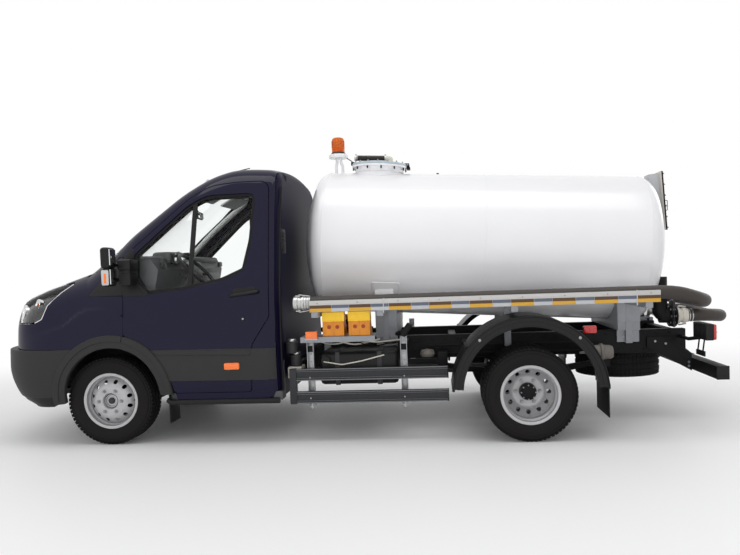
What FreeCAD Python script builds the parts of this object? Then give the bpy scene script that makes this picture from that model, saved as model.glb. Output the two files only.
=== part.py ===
"""Light tanker truck: a van-derived chassis cab with twin rear wheels and a sloping round tank.

Millimetres. +X runs rearward, +Y to the vehicle's right, +Z up. The origin is on the ground, on the
centreline, half way between the front bumper and the rearmost hose.
"""
import FreeCAD, Part
import Sketcher
import math
import os
import re

doc = FreeCAD.newDocument("tanker_truck")
sheet = doc.addObject("Spreadsheet::Sheet", "Dims")
Vector = FreeCAD.Vector
LEFT, RIGHT = -1, 1
SIDES = (("left", LEFT), ("right", RIGHT))

# name, size
DRIVING = (
    # running gear
    ("wheelbase", 3190), ("front_overhang", 1040),
    ("tyre_radius", 340), ("tyre_width", 196), ("rim_radius", 203), ("rim_wall", 12), ("rim_width", 164),
    ("rim_lip_radius", 220), ("rim_lip_width", 9), ("disc_wall", 12), ("disc_offset", 110),
    ("hub_radius", 64), ("half_track_front", 867), ("half_track_rear", 850),
    ("kingpin_half_track", 795), ("spindle_radius", 24), ("running_gap", 0.5), ("moving_gap", 9),
    ("arch_radius", 430), ("arch_inner_half", 545), ("liner_wall", 10),
    # cab
    ("cab_half_width", 1022), ("cab_roof_height", 2180), ("cab_back", 1360), ("cab_floor", 620),
    ("floor_wall", 50), ("door_wall", 85), ("roof_wall", 55), ("back_wall", 55), ("nose_wall", 60),
    ("towing_eye_across", 420), ("towing_eye_height", 500), ("towing_eye_radius", 10),
    ("bumper_bottom", 280), ("bumper_top", 690), ("sill_bottom", 330), ("glass_wall", 6),
    ("glass_inset", 30), ("bonnet_wall", 45), ("bonnet_half_width", 720), ("grille_half_width", 530),
    ("mirror_reach", 1235), ("steering_radius", 190), ("steering_rim", 15), ("steering_rake", 45),
    # chassis
    ("frame_half_width", 400), ("rail_width", 70), ("rail_top", 735), ("rail_height", 185),
    ("rail_overhang", 1290), ("front_rail_bottom", 400), ("front_rail_top", 540),
    ("tow_bolt_across", 160), ("tow_bolt_up", 80), ("tow_hole_radius", 7),
    ("spring_half_width", 520), ("spring_width", 70), ("spring_length", 1240), ("axle_tube_radius", 55),
    # tank and what stands on it
    ("tank_gap", 70), ("tank_radius", 600), ("tank_length", 2540), ("dish_depth", 220),
    ("dish_knuckle", 120), ("tank_slope", 3.4), ("tank_lift", 212), ("fit_gap", 0.5),
    ("neck_radius", 210), ("neck_height", 62), ("neck_wall", 16), ("manhole_depth", 260),
    ("lid_radius", 240), ("lid_wall", 28),
    ("manhole_from_front", 612), ("beacon_from_front", 292), ("beacon_radius", 60), ("beacon_rise", 293),
    # hose trays and hoses
    ("tray_half_width", 953), ("tray_width", 164), ("tray_wall", 6), ("tray_bottom", 994),
    ("tray_front_lead", 170), ("tray_length", 2512), ("marker_height", 85), ("hose_radius", 50),
    ("hose_reach", 450), ("coupling_bore", 42), ("coupling_depth", 80), ("outlet_half_width", 400),
    ("outlet_height", 835),
    # guards and lamps
    ("guard_half_width", 950), ("guard_rail_height", 88), ("guard_rail_depth", 40),
    ("upper_guard", 468), ("lower_guard", 296), ("mudguard_radius", 560), ("mudguard_wall", 8),
    ("mudguard_inner_half", 620), ("mudguard_outer_half", 1065),
)
# name, how it follows from the driving sizes
DERIVED = (
    ("axle_height", "tyre_radius"),
    ("tank_overall", "tank_length + 2 * dish_depth"),
    ("overall_length", "front_overhang + cab_back + tank_gap + tank_overall + hose_reach"),
    ("front_axle_x", "front_overhang - overall_length / 2"),
    ("rear_axle_x", "front_axle_x + wheelbase"),
    ("cab_back_x", "front_axle_x + cab_back"),
    ("tank_front_x", "cab_back_x + tank_gap"),
    ("tank_end_x", "tank_front_x + tank_overall * cos(tank_slope)"),
    ("tank_front_height", "rail_top + tank_lift + tank_radius"),
    ("tank_end_height", "tank_front_height - tank_overall * sin(tank_slope)"),
    ("beacon_top", "tank_front_height + tank_radius + beacon_rise"),
    ("frame_end_x", "rear_axle_x + rail_overhang"),
    ("tray_front_x", "tank_front_x + tray_front_lead"),
    ("twin_offset", "disc_offset"),
    ("outlet_x", "tank_end_x - dish_depth / 2"),
)


def fill_sheet():
    """Writes every driving size as a plain number and every derived one as a formula."""
    rows = [(name, str(size)) for name, size in DRIVING]
    rows += [(name, "=" + formula) for name, formula in DERIVED]
    for row, (name, content) in enumerate(rows, start=1):
        sheet.set(f"A{row}", name)
        sheet.setAlias(f"B{row}", name)
        sheet.set(f"B{row}", content)
    doc.recompute()
    return {name for name, content in rows}


NAMES = fill_sheet()


def expand(formula):
    """Points every size named in a formula at its cell in the sheet."""
    return re.sub(r"[a-z_]+", lambda word: "Dims." + word[0] if word[0] in NAMES else word[0], str(formula))


def size(name):
    """The number that a cell of the sheet holds."""
    return float(getattr(sheet, name))


def make(kind, name, **bindings):
    """A document object with properties bound to the sheet; PX, PY and PZ stand for its place."""
    piece = doc.addObject(kind, name)
    paths = {"PX": "Placement.Base.x", "PY": "Placement.Base.y", "PZ": "Placement.Base.z"}
    for key, formula in bindings.items():
        piece.setExpression(paths.get(key, key), expand(formula))
    return piece


def box(name, x, y, z):
    """A block; x, y and z are each a pair, lowest place and extent."""
    return make("Part::Box", name, Length=x[1], Width=y[1], Height=z[1], PX=x[0], PY=y[0], PZ=z[0])


def side_box(name, side, x, half, z):
    """A block on one side; half is a pair, the middle's distance from the centreline and the width."""
    return box(name, x, (f"({side}) * ({half[0]}) - ({half[1]}) / 2", half[1]), z)


TURNS = {
    "+x": FreeCAD.Rotation(Vector(0, 1, 0), 90),
    "+y": FreeCAD.Rotation(Vector(1, 0, 0), -90),
    "-y": FreeCAD.Rotation(Vector(1, 0, 0), 90),
    "+z": FreeCAD.Rotation(),
}
OUTWARD = {LEFT: "-y", RIGHT: "+y"}


def rod(name, way, place, radius, length):
    """A round bar from a place along +x, +y, -y or +z."""
    x, y, z = place
    piece = make("Part::Cylinder", name, Radius=radius, Height=length)
    piece.Placement = FreeCAD.Placement(Vector(), TURNS[way])
    for path, formula in (("x", x), ("y", y), ("z", z)):
        piece.setExpression("Placement.Base." + path, expand(formula))
    return piece


def cone(name, way, place, near_radius, far_radius, length):
    """A round taper from a place along +x, +y, -y or +z."""
    x, y, z = place
    piece = make("Part::Cone", name, Radius1=near_radius, Radius2=far_radius, Height=length)
    piece.Placement = FreeCAD.Placement(Vector(), TURNS[way])
    for path, formula in (("x", x), ("y", y), ("z", z)):
        piece.setExpression("Placement.Base." + path, expand(formula))
    return piece


PLANES = {
    # plane: turn of the sketch, axis that it is pushed along, whether the push runs backward
    "side": (FreeCAD.Rotation(Vector(1, 0, 0), 90), "y", True),
    "front": (FreeCAD.Rotation(Vector(1, 1, 1), 120), "x", False),
    "plan": (FreeCAD.Rotation(), "z", False),
}


def outline(name, plane, corners, start, length):
    """A closed outline of straight edges, seen from the side, front or above, pushed into a solid."""
    sketch = doc.addObject("Sketcher::SketchObject", name + "_outline")
    count = len(corners)
    ring = [Vector(math.cos(2 * math.pi * i / count), math.sin(2 * math.pi * i / count), 0) * 500
            for i in range(count)]
    for i in range(count):
        sketch.addGeometry(Part.LineSegment(ring[i], ring[(i + 1) % count]))
    for i in range(count):
        sketch.addConstraint(Sketcher.Constraint("Coincident", i, 2, (i + 1) % count, 1))
    for i, corner in enumerate(corners):
        for kind, formula in zip(("DistanceX", "DistanceY"), corner):
            index = sketch.addConstraint(Sketcher.Constraint(kind, -1, 1, i, 1, 10.0))
            label = f"corner_{i}_{kind[-1].lower()}"
            sketch.renameConstraint(index, label)
            sketch.setExpression("Constraints." + label, expand(formula))
    turn, axis, backward = PLANES[plane]
    sketch.Placement = FreeCAD.Placement(Vector(), turn)
    solid = doc.addObject("Part::Extrusion", name)
    solid.Base = sketch
    solid.DirMode = "Normal"
    solid.Solid = True
    solid.setExpression("LengthFwd", expand(length))
    place = f"({start}) + ({length})" if backward else f"{start}"
    solid.setExpression("Placement.Base." + axis, expand(place))
    return solid


def from_axle(corners, gap="0"):
    """Side-view corners measured from the front axle; a corner may add which way a gap moves it."""
    moved = []
    for x, z, *way in corners:
        out_x, out_z = way if way else (0, 0)
        moved.append((f"front_axle_x + ({x}) + ({out_x}) * ({gap})", f"({z}) + ({out_z}) * ({gap})"))
    return moved


def fuse(name, pieces):
    joined = doc.addObject("Part::MultiFuse", name)
    joined.Shapes = pieces
    joined.Refine = True
    return joined


def common(name, pieces):
    shared = doc.addObject("Part::MultiCommon", name)
    shared.Shapes = pieces
    return shared


def cut(name, base, *tools):
    tool = tools[0] if len(tools) == 1 else fuse(name + "_tools", list(tools))
    left = doc.addObject("Part::Cut", name)
    left.Base = base
    left.Tool = tool
    return left


def group(name, pieces):
    """Like pieces that don't touch, kept as one node."""
    together = doc.addObject("Part::Compound", name)
    together.Links = pieces
    return together


NODES = []


def node(piece, label=None):
    """Marks a finished sub-part, whose label names its file."""
    piece.Label = label or piece.Name
    NODES.append(piece)
    return piece


# ---------------------------------------------------------------- cab: outer form

# half width and height of the cabin's section, from the sill up
CABIN_SECTION = (
    ("cab_half_width - 37", "sill_bottom"), ("cab_half_width", "560"), ("cab_half_width", "740"),
    ("cab_half_width - 22", "1150"), ("cab_half_width - 172", "cab_roof_height - 280"),
    ("cab_half_width - 277", "cab_roof_height - 100"), ("cab_half_width - 522", "cab_roof_height - 15"),
)
NOSE_SECTION = (
    ("cab_half_width - 37", "bumper_bottom"), ("cab_half_width", "560"), ("cab_half_width", "740"),
    ("cab_half_width - 40", "1000"), ("cab_half_width - 110", "1180"), ("cab_half_width - 300", "1390"),
)
# distance behind the front axle and height of the cabin seen from the side
CABIN_SIDE = (
    (150, "sill_bottom"), (150, 1390), (-110, 1390), (650, "cab_roof_height - 150"),
    (800, "cab_roof_height - 70"), (1060, "cab_roof_height"), ("cab_back - 70", "cab_roof_height - 15"),
    ("cab_back", "cab_roof_height - 110"), ("cab_back", "sill_bottom"),
)
CAVITY_SIDE = (
    (60, "cab_floor"), (60, 1330), (-40, 1380), (690, "cab_roof_height - 125 - roof_wall"),
    (820, "cab_roof_height - 65 - roof_wall"), (1060, "cab_roof_height - roof_wall"),
    ("cab_back - 80", "cab_roof_height - 15 - roof_wall"),
    ("cab_back - back_wall", "cab_roof_height - 120 - roof_wall"), ("cab_back - back_wall", "cab_floor"),
)
NOSE_SIDE = (
    ("50 - front_overhang", "bumper_bottom"), ("-front_overhang", 430), ("10 - front_overhang", 690),
    ("40 - front_overhang", 900), ("120 - front_overhang", 1080), ("260 - front_overhang", 1175),
    (-110, 1390), (150, 1390), (535, 850), (535, "sill_bottom"), (150, "sill_bottom"),
    (-430, "bumper_bottom"),
)
BAY_SIDE = (
    ("nose_wall + 50 - front_overhang", 200), ("nose_wall - front_overhang", 690),
    ("nose_wall + 45 - front_overhang", 900), ("nose_wall + 115 - front_overhang", 1030),
    ("nose_wall + 250 - front_overhang", 1115), (-90, 1345), (-10, 1345), (-10, "cab_floor - floor_wall"),
    (600, "cab_floor - floor_wall"), (600, 200),
)
# distance behind the front axle and half width of the nose seen from above
NOSE_PLAN = (
    ("-front_overhang", "cab_half_width - 432"), ("80 - front_overhang", "cab_half_width - 212"),
    ("240 - front_overhang", "cab_half_width - 82"), ("540 - front_overhang", "cab_half_width - 12"),
    ("700 - front_overhang", "cab_half_width"), (600, "cab_half_width"),
)


def section(name, corners, inset, start, length):
    """The section's half outline mirrored into a ring, drawn in by an inset and pushed along X."""
    right = [(f"{half} - ({inset})", f"{height} - ({inset})" if i == len(corners) - 1 else height)
             for i, (half, height) in enumerate(corners)]
    left = [(f"-({half})", height) for half, height in reversed(right)]
    return outline(name, "front", right + left, start, length)


def nose_plan(name, inset):
    """The nose seen from above, drawn in by an inset at its front and sides."""
    right = [(f"front_axle_x + {x} + {0 if i == len(NOSE_PLAN) - 1 else 1} * ({inset})",
              f"{half} - ({inset})")
             for i, (x, half) in enumerate(NOSE_PLAN)]
    left = [(x, f"-({half})") for x, half in reversed(right)]
    return outline(name, "plan", right + left, "bumper_bottom - 100", "cab_roof_height")


def cabin_prism(name, inset):
    """The cabin's section along its whole length, drawn in by an inset."""
    return section(name, CABIN_SECTION, inset, "front_axle_x - 200", "cab_back + 300")


def across(name, corners, half="1200"):
    """A side-view outline through the whole width."""
    return outline(name, "side", corners, f"-({half})", f"2 * ({half})")


cabin_outer = common("cabin_outer", [across("cabin_side", from_axle(CABIN_SIDE)),
                                     cabin_prism("cabin_section", "0")])
cavity = common("cabin_cavity", [across("cavity_side", from_axle(CAVITY_SIDE)),
                                 cabin_prism("cavity_section", "door_wall")])
nose_outer = common("nose_outer", [across("nose_side", from_axle(NOSE_SIDE)), nose_plan("nose_top", "0"),
                                   section("nose_section", NOSE_SECTION, "0", "front_axle_x - 1200", "1800")])
bay = common("engine_bay", [across("bay_side", from_axle(BAY_SIDE)), nose_plan("bay_plan", "nose_wall")])

# ---------------------------------------------------------------- cab: doors

# distance behind the front axle, height, and which way the shut gap widens the opening
DOOR_SIDE = (
    (159, 856, -1, 0), (159, 1435, -1, 0.5), (680, 1890, -0.6, 0.8), (840, 1970, -0.3, 1),
    (1050, 1985, 0, 1), (1236, 1985, 0.5, 1), (1281, 1940, 1, 0.5), (1281, 965, 1, 0),
    (1146, 762, 1, 0), (1126, 405, 1, -1), (546, 405, -1, -1), (505, 524, -1, 0),
    (435, 660, -1, -0.7), (304, 787, -0.7, -1),
)
WINDOW_SIDE = (
    (250, 1300), (250, 1452), (650, 1825), (800, 1895), (1180, 1895), (1152, 1540), (1098, 1325),
    (925, 1250), (600, 1190), (330, 1172),
)

front_arches = [rod(f"{word}_arch_space", OUTWARD[side],
                    ("front_axle_x", f"{side} * arch_inner_half", "axle_height"), "arch_radius", "700")
                for word, side in SIDES]
liner_spaces = [rod(f"{word}_liner_space", OUTWARD[side],
                    ("front_axle_x", f"{side} * arch_inner_half", "axle_height"),
                    "arch_radius + liner_wall + fit_gap", "700") for word, side in SIDES]
skins = cabin_prism("door_inside_section", "door_wall")
glass_skin = cut("glass_skin", cabin_prism("glass_outside", "glass_inset"),
                 cabin_prism("glass_inside", "glass_inset + glass_wall"))
for word, side in SIDES:
    panel = outline(f"{word}_door_block", "side", from_axle(DOOR_SIDE), f"{side} * 900 - 400", "800")
    window = outline(f"{word}_window_hole", "side", from_axle(WINDOW_SIDE), f"{side} * 900 - 400", "800")
    glass_hole = outline(f"{word}_glass_edge", "side", from_axle(WINDOW_SIDE), f"{side} * 900 - 400", "800")
    solid = common(f"{word}_door_skin", [panel, cabin_outer])
    node(cut(f"{word}_door", solid, skins, window))
    node(common(f"{word}_door_glass", [glass_hole, glass_skin]))
    head = side_box(f"{word}_mirror_head", side, ("front_axle_x + 92", "98"),
                    ("mirror_reach - 85", "170"), ("1225", "295"))
    arms = [side_box(f"{word}_mirror_arm_{i}", side, ("front_axle_x + 168", "60"),
                     ("(mirror_reach + cab_half_width - 36) / 2 - 40", "mirror_reach - cab_half_width"),
                     (height, "32"))
            for i, height in enumerate(("1262", "1372"))]
    foot = side_box(f"{word}_mirror_foot", side, ("front_axle_x + 168", "95"),
                    ("cab_half_width - 20", "60"), ("1240", "190"))
    node(cut(f"{word}_mirror", fuse(f"{word}_mirror_body", [head, *arms, foot]), cabin_outer))

# ---------------------------------------------------------------- cab: shell, nose and trim

door_space = across("door_space", from_axle(DOOR_SIDE, "moving_gap"))
screen_side = ((-95, 1408), (632, 2012), (700, 1940), (0, 1350))
screen_hole = common("screen_hole", [across("screen_space", from_axle(screen_side)),
                                     cabin_prism("screen_section", "door_wall + 10")])
glass_side = ((-72, 1416), (635, 2005), (639, 1999), (-68, 1410))
node(common("windscreen", [across("screen_glass", from_axle(glass_side)),
                           cabin_prism("screen_glass_section", "door_wall + 10")]))
cabin_skin = cut("cabin_skin", cabin_outer, cavity, door_space, screen_hole)

BONNET_SIDE = (
    ("100 - front_overhang", 1010, -1, -1), ("60 - front_overhang", 1120, -1, 0), (-118, 1450, 1, 0),
    (-118, 1345, 1, 0), ("265 - front_overhang", 1130, 0, -1),
)
LAMP_SIDE = (
    ("-20 - front_overhang", 890), ("60 - front_overhang", 1090), (-360, 1300), (-345, 1262),
    (-470, 1130), (-760, 930), (-860, 890),
)
nose_skin = cut("nose_skin", nose_outer, bay, cavity)
bonnet_space = outline("bonnet_space", "side", from_axle(BONNET_SIDE, "moving_gap"),
                       "-bonnet_half_width - moving_gap", "2 * (bonnet_half_width + moving_gap)")
bonnet_block = outline("bonnet_block", "side", from_axle(BONNET_SIDE), "-bonnet_half_width",
                       "2 * bonnet_half_width")
node(common("bonnet", [bonnet_block, nose_outer]))
grille_space = box("grille_space", ("front_axle_x - front_overhang - 50", "260"),
                   ("-grille_half_width", "2 * grille_half_width"), ("bumper_top", "330"))
lamp_spaces = [outline(f"{word}_lamp_space", "side", from_axle(LAMP_SIDE),
                       f"{side} * (grille_half_width + 260) - 255", "510") for word, side in SIDES]
bumper_space = box("bumper_space", ("front_axle_x - front_overhang - 50", "front_overhang - 350"),
                   ("-1200", "2400"), ("100", "bumper_top - 100"))
nose_core = cut("nose_front_skin", nose_skin, bonnet_space)
node(common("grille", [grille_space, nose_core]))
lamps = group("headlamps", [common(f"{word}_headlamp", [space, nose_core])
                            for space, (word, side) in zip(lamp_spaces, SIDES)])
node(lamps)
bumper_block = common("bumper_block", [bumper_space, nose_outer])
eye_socket = rod("towing_eye_socket", "+x", ("front_axle_x - front_overhang - 20", "towing_eye_across",
                                            "towing_eye_height"), "towing_eye_radius", "150")
node(cut("front_bumper", bumper_block, nose_plan("bumper_inside", "nose_wall"), *liner_spaces, eye_socket))

floor = box("cab_floor_pan", ("front_axle_x + 20", "cab_back - 40"),
            ("95 - cab_half_width", "2 * (cab_half_width - 95)"), ("cab_floor - floor_wall", "floor_wall"))
bulkhead = box("bulkhead", ("front_axle_x - 10", "70"),
               ("120 - cab_half_width", "2 * (cab_half_width - 120)"),
               ("cab_floor - floor_wall", "1390 - cab_floor + floor_wall"))
# word, middle from the centreline, width
SEATS = (("driver", -420, 480), ("bench", 380, 900))
liners = []
for word, side in SIDES:
    place = ("front_axle_x", f"{side} * arch_inner_half", "axle_height")
    liners.append(rod(f"{word}_liner", OUTWARD[side], place, "arch_radius + liner_wall",
                      "cab_half_width - arch_inner_half - nose_wall + 5"))
liner_keep = box("liner_keep", ("front_axle_x - 600", "1200"), ("-1200", "2400"), ("axle_height + 30", "700"))
liner_ring = common("liner_ring", [fuse("liner_pair", liners), liner_keep])
sills = []
for word, side in SIDES:
    sill_x = ("front_axle_x + 480", "cab_back - 480")
    sills.append(side_box(f"{word}_sill", side, sill_x, ("cab_half_width - 110", "130"),
                          ("sill_bottom", "66")))
    sills.append(side_box(f"{word}_step", side, sill_x, ("cab_half_width - 148", "54"),
                          ("sill_bottom", "cab_floor - sill_bottom")))
wing_skin = cut("wing_skin", nose_core, grille_space, *lamp_spaces, bumper_space, door_space, floor, bulkhead)
underside = box("underside", ("front_axle_x - 10", "cab_back + 20"),
                ("175 - cab_half_width", "2 * (cab_half_width - 175)"),
                ("200", "cab_floor - floor_wall - 200"))
pedestals = [box(f"{word}_pedestal", ("front_axle_x + 700", "480"),
                 (f"{middle} - {width} / 2 + 40", f"{width} - 80"), ("cab_floor", "769 - cab_floor"))
             for word, middle, width in SEATS]
floor_joined = fuse("floor_joined", [floor, bulkhead, *sills, *pedestals])
wings_joined = fuse("wings_joined", [wing_skin, liner_ring])
wing_room = box("wing_room", ("front_axle_x + 100", "430"), ("-1200", "2400"), ("100", "770"))
cabin_over_floor = cut("cabin_over_floor", cabin_skin, underside, floor_joined)
cabin_over_arches = cut("cabin_over_arches", cabin_over_floor, wing_room, *front_arches)
node(cut("cab_shell", cabin_over_arches, wings_joined))
node(cut("front_wings", wings_joined, underside, *front_arches))
node(cut("cab_floor", floor_joined, underside, wings_joined, *front_arches))

# ---------------------------------------------------------------- cab: inside

DASH_SIDE = ((65, 1050), (65, 1320), (90, 1415), (330, 1425), (390, 1340), (330, 1050))
dash_block = outline("dash_block", "side", from_axle(DASH_SIDE), "175 - cab_half_width",
                     "2 * (cab_half_width - 175)")
column = make("Part::Cylinder", "steering_column", Radius="32", Height="300")
column.Placement = FreeCAD.Placement(Vector(), FreeCAD.Rotation(Vector(0, 1, 0), 1))
for path, formula in (("Base.x", "front_axle_x + 560 - 368 * sin(steering_rake)"), ("Base.y", "-420"),
                      ("Base.z", "1320 - 368 * cos(steering_rake)"), ("Rotation.Angle", "steering_rake")):
    column.setExpression("Placement." + path, expand(formula))
node(fuse("dashboard", [dash_block, column]))
cushions = []
for word, middle, width in SEATS:
    seat_side = from_axle(((650, 770), (640, 880), (700, 910), (1105, 880), (1165, 1480), (1255, 1470),
                           (1215, 780)))
    cushions.append(outline(f"{word}_seat", "side", seat_side, f"{middle} - {width} / 2", width))
node(group("seats", cushions))

steering_ring = make("Part::Torus", "steering_ring", Radius1="steering_radius", Radius2="steering_rim")
steering_hub = make("Part::Cylinder", "steering_hub", Radius="48", Height="60")
steering_hub.Placement.Base = Vector(0, 0, -50)
spoke = make("Part::Box", "steering_spokes", Length="36", Width="2 * steering_radius", Height="16",
             PX="-18", PY="-steering_radius", PZ="-24")
steering = fuse("steering_wheel", [steering_ring, steering_hub, spoke])
steering.Placement = FreeCAD.Placement(Vector(), FreeCAD.Rotation(Vector(0, 1, 0), 1))
for path, formula in (("Base.x", "front_axle_x + 560"), ("Base.y", "-420"), ("Base.z", "1320"),
                      ("Rotation.Angle", "steering_rake")):
    steering.setExpression("Placement." + path, expand(formula))
node(steering)

# ---------------------------------------------------------------- engine and driveline

engine_block = box("engine_main", ("front_axle_x - 640", "560"), ("-270", "540"), ("430", "560"))
gearbox = box("gearbox", ("front_axle_x - 81", "420"), ("-130", "260"), ("385", "160"))
node(fuse("engine", [engine_block, gearbox]))
node(rod("propshaft", "+x", ("front_axle_x + 341", "0", "axle_height + 60"), "38",
         "wheelbase - 341 - 151"))
axle_tube = rod("axle_tube", "+y", ("rear_axle_x", "-690", "axle_height"), "axle_tube_radius", "1380")
diff = rod("differential", "+y", ("rear_axle_x", "-110", "axle_height + 20"), "150", "220")
plates = [rod(f"{word}_brake", OUTWARD[side], ("rear_axle_x", f"{side} * 610", "axle_height"), "155", "70")
          for word, side in SIDES]
node(fuse("rear_axle", [axle_tube, diff, *plates]))

springs = []
for word, side in SIDES:
    top = "axle_height + axle_tube_radius + 1"
    leaf_side = [("rear_axle_x - spring_length / 2", "rail_top - rail_height - 62"),
                 ("rear_axle_x - 200", f"{top} + 12"), ("rear_axle_x - 70", top), ("rear_axle_x + 70", top),
                 ("rear_axle_x + 200", f"{top} + 12"),
                 ("rear_axle_x + spring_length / 2", "rail_top - rail_height - 62"),
                 ("rear_axle_x + spring_length / 2", "rail_top - rail_height - 30"),
                 ("rear_axle_x + 200", f"{top} + 64"), ("rear_axle_x - 200", f"{top} + 64"),
                 ("rear_axle_x - spring_length / 2", "rail_top - rail_height - 30")]
    leaf = outline(f"{word}_leaf", "side", leaf_side, f"{side} * spring_half_width - spring_width / 2",
                   "spring_width")
    inner = "frame_half_width + rail_width / 2"
    reach = f"spring_half_width + spring_width / 2 - {inner}"
    hangers = [side_box(f"{word}_hanger_{i}", side, (f"rear_axle_x + {end} * spring_length / 2 - 40", "80"),
                        (f"{inner} + ({reach}) / 2", reach), ("rail_top - rail_height - 75", "140"))
               for i, end in enumerate((-1, 1))]
    springs.append(fuse(f"{word}_spring", [leaf, *hangers]))
node(group("leaf_springs", springs))

arm_set = [box("cross_beam", ("front_axle_x - 190", "380"), ("-470", "940"), ("axle_height - 78", "110"))]
for word, side in SIDES:
    arm_set.append(side_box(f"{word}_lower_arm", side, ("front_axle_x - 55", "110"),
                            ("(460 + kingpin_half_track - 105) / 2", "kingpin_half_track - 105 - 460"),
                            ("axle_height - 78", "36")))
node(fuse("front_axle", arm_set))

# ---------------------------------------------------------------- wheels


def rim(name, side, axle_x, middle, face):
    """One pressed rim: barrel, two lips, tapered disc and centre plate; face is the mounting plane."""
    half = "rim_width / 2"
    centre = f"{side} * ({middle})"
    barrel = rod(name + "_barrel", "+y", (axle_x, f"{centre} - {half}", "axle_height"), "rim_radius",
                 "rim_width")
    well = rod(name + "_well", "+y", (axle_x, f"{centre} - rim_width", "axle_height"),
               "rim_radius - rim_wall", "2 * rim_width")
    lips = [rod(f"{name}_lip_{i}", "+y", (axle_x, f"{centre} + {shift}", "axle_height"),
                "rim_lip_radius", "rim_lip_width")
            for i, shift in enumerate((f"(-{half})", f"({half} - rim_lip_width)"))]
    ring = cut(name + "_ring", fuse(name + "_solid", [barrel, *lips]), well)
    outward = face > 0
    way = OUTWARD[side] if outward else OUTWARD[-side]
    base = f"{side} * (({middle}) + {1 if outward else -1} * (disc_offset - 70))"
    run = "70 - disc_wall / 2"
    outer = cone(name + "_taper", way, (axle_x, base, "axle_height"), "rim_radius - rim_wall + 4", "112", run)
    inner_base = f"{base} - ({1 if way == '+y' else -1}) * disc_wall * 1.2"
    inner = cone(name + "_taper_inside", way, (axle_x, inner_base, "axle_height"),
                 "rim_radius - rim_wall + 4", "112", run)
    taper = cut(name + "_dish", outer, inner)
    plate_start = f"{base} + ({1 if way == '+y' else -1}) * (70 - disc_wall * 1.5)"
    plate = rod(name + "_plate", way, (axle_x, plate_start, "axle_height"), "118", "disc_wall * 1.5")
    return fuse(name, [ring, taper, plate])


def tyre(name, side, axle_x, middle):
    """One tyre on its rim, with shoulders tapered down to the side walls."""
    centre = f"{side} * ({middle})"
    tread = rod(name + "_tread", "+y", (axle_x, f"{centre} - tyre_width / 2 + 22", "axle_height"),
                "tyre_radius", "tyre_width - 44")
    shoulders = []
    for i, (way, sign) in enumerate((("+y", 1), ("-y", -1))):
        start = f"{centre} + {sign} * (tyre_width / 2 - 22)"
        shoulders.append(cone(f"{name}_shoulder_{i}", way, (axle_x, start, "axle_height"),
                              "tyre_radius", "tyre_radius - 40", "22"))
    hole = rod(name + "_hole", "+y", (axle_x, f"{centre} - tyre_width", "axle_height"),
               "rim_lip_radius", "2 * tyre_width")
    bead = rod(name + "_bead", "+y", (axle_x, f"{centre} - rim_width / 2 + rim_lip_width", "axle_height"),
               "rim_lip_radius + 1", "rim_width - 2 * rim_lip_width")
    bead_hole = rod(name + "_bead_hole", "+y", (axle_x, f"{centre} - rim_width", "axle_height"),
                    "rim_radius", "2 * rim_width")
    body = cut(name + "_body", fuse(name + "_solid", [tread, *shoulders]), hole)
    return fuse(name, [body, cut(name + "_foot", bead, bead_hole)])


for word, side in SIDES:
    node(tyre(f"front_{word}_tyre", side, "front_axle_x", "half_track_front"))
    front_rim = rim(f"front_{word}_wheel", side, "front_axle_x", "half_track_front", 1)
    bore = rod(f"front_{word}_bore", "+y",
               ("front_axle_x", f"{side} * half_track_front - 300", "axle_height"),
               "spindle_radius + running_gap", "600")
    front_hub = rod(f"front_{word}_hub", OUTWARD[side],
                    ("front_axle_x", f"{side} * (half_track_front + 20)", "axle_height"), "hub_radius", "115")
    drilled = cut(f"front_{word}_rim", fuse(f"front_{word}_rim_hub", [front_rim, front_hub]), bore)
    node(drilled)
    spindle = rod(f"{word}_spindle", OUTWARD[side],
                  ("front_axle_x", f"{side} * (kingpin_half_track - 30)", "axle_height"), "spindle_radius",
                  "150")
    upright = side_box(f"{word}_upright", side, ("front_axle_x - 45", "90"),
                       ("kingpin_half_track - 60", "70"), ("axle_height - 38", "190"))
    disc = rod(f"{word}_brake_disc", OUTWARD[side],
               ("front_axle_x", f"{side} * (kingpin_half_track - 26)", "axle_height"), "145", "26")
    steer_arm = side_box(f"{word}_steer_arm", side, ("front_axle_x + 40", "110"),
                         ("kingpin_half_track - 75", "30"), ("axle_height - 30", "28"))
    node(fuse(f"{word}_knuckle", [spindle, upright, disc, steer_arm]))

for word, side in SIDES:
    twin_tyres = []
    twin_rims = []
    for spot, sign in (("inner", -1), ("outer", 1)):
        middle = f"half_track_rear + {sign} * twin_offset"
        twin_tyres.append(tyre(f"rear_{word}_{spot}_tyre", side, "rear_axle_x", middle))
        twin_rims.append(rim(f"rear_{word}_{spot}_rim", side, "rear_axle_x", middle, -sign))
    node(group(f"rear_{word}_tyres", twin_tyres))
    rear_hub = rod(f"rear_{word}_hub", OUTWARD[side],
                   ("rear_axle_x", f"{side} * (half_track_rear - 150)", "axle_height"), "hub_radius", "240")
    node(fuse(f"rear_{word}_rims", [*twin_rims, rear_hub]))

# ---------------------------------------------------------------- frame

RAIL_SIDE = [
    ("front_axle_x - 880", "front_rail_bottom"), ("cab_back_x + 30", "front_rail_bottom"),
    ("cab_back_x + 230", "rail_top - rail_height"), ("frame_end_x", "rail_top - rail_height"),
    ("frame_end_x", "rail_top"), ("cab_back_x + 215", "rail_top"), ("cab_back_x + 15", "front_rail_top"),
    ("front_axle_x - 880", "front_rail_top"),
]
rails = [outline(f"{word}_rail", "side", RAIL_SIDE, f"{side} * frame_half_width - rail_width / 2",
                 "rail_width") for word, side in SIDES]
cross_length = "2 * frame_half_width - rail_width + 20"
cross_start = "rail_width / 2 - frame_half_width - 10"
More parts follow.
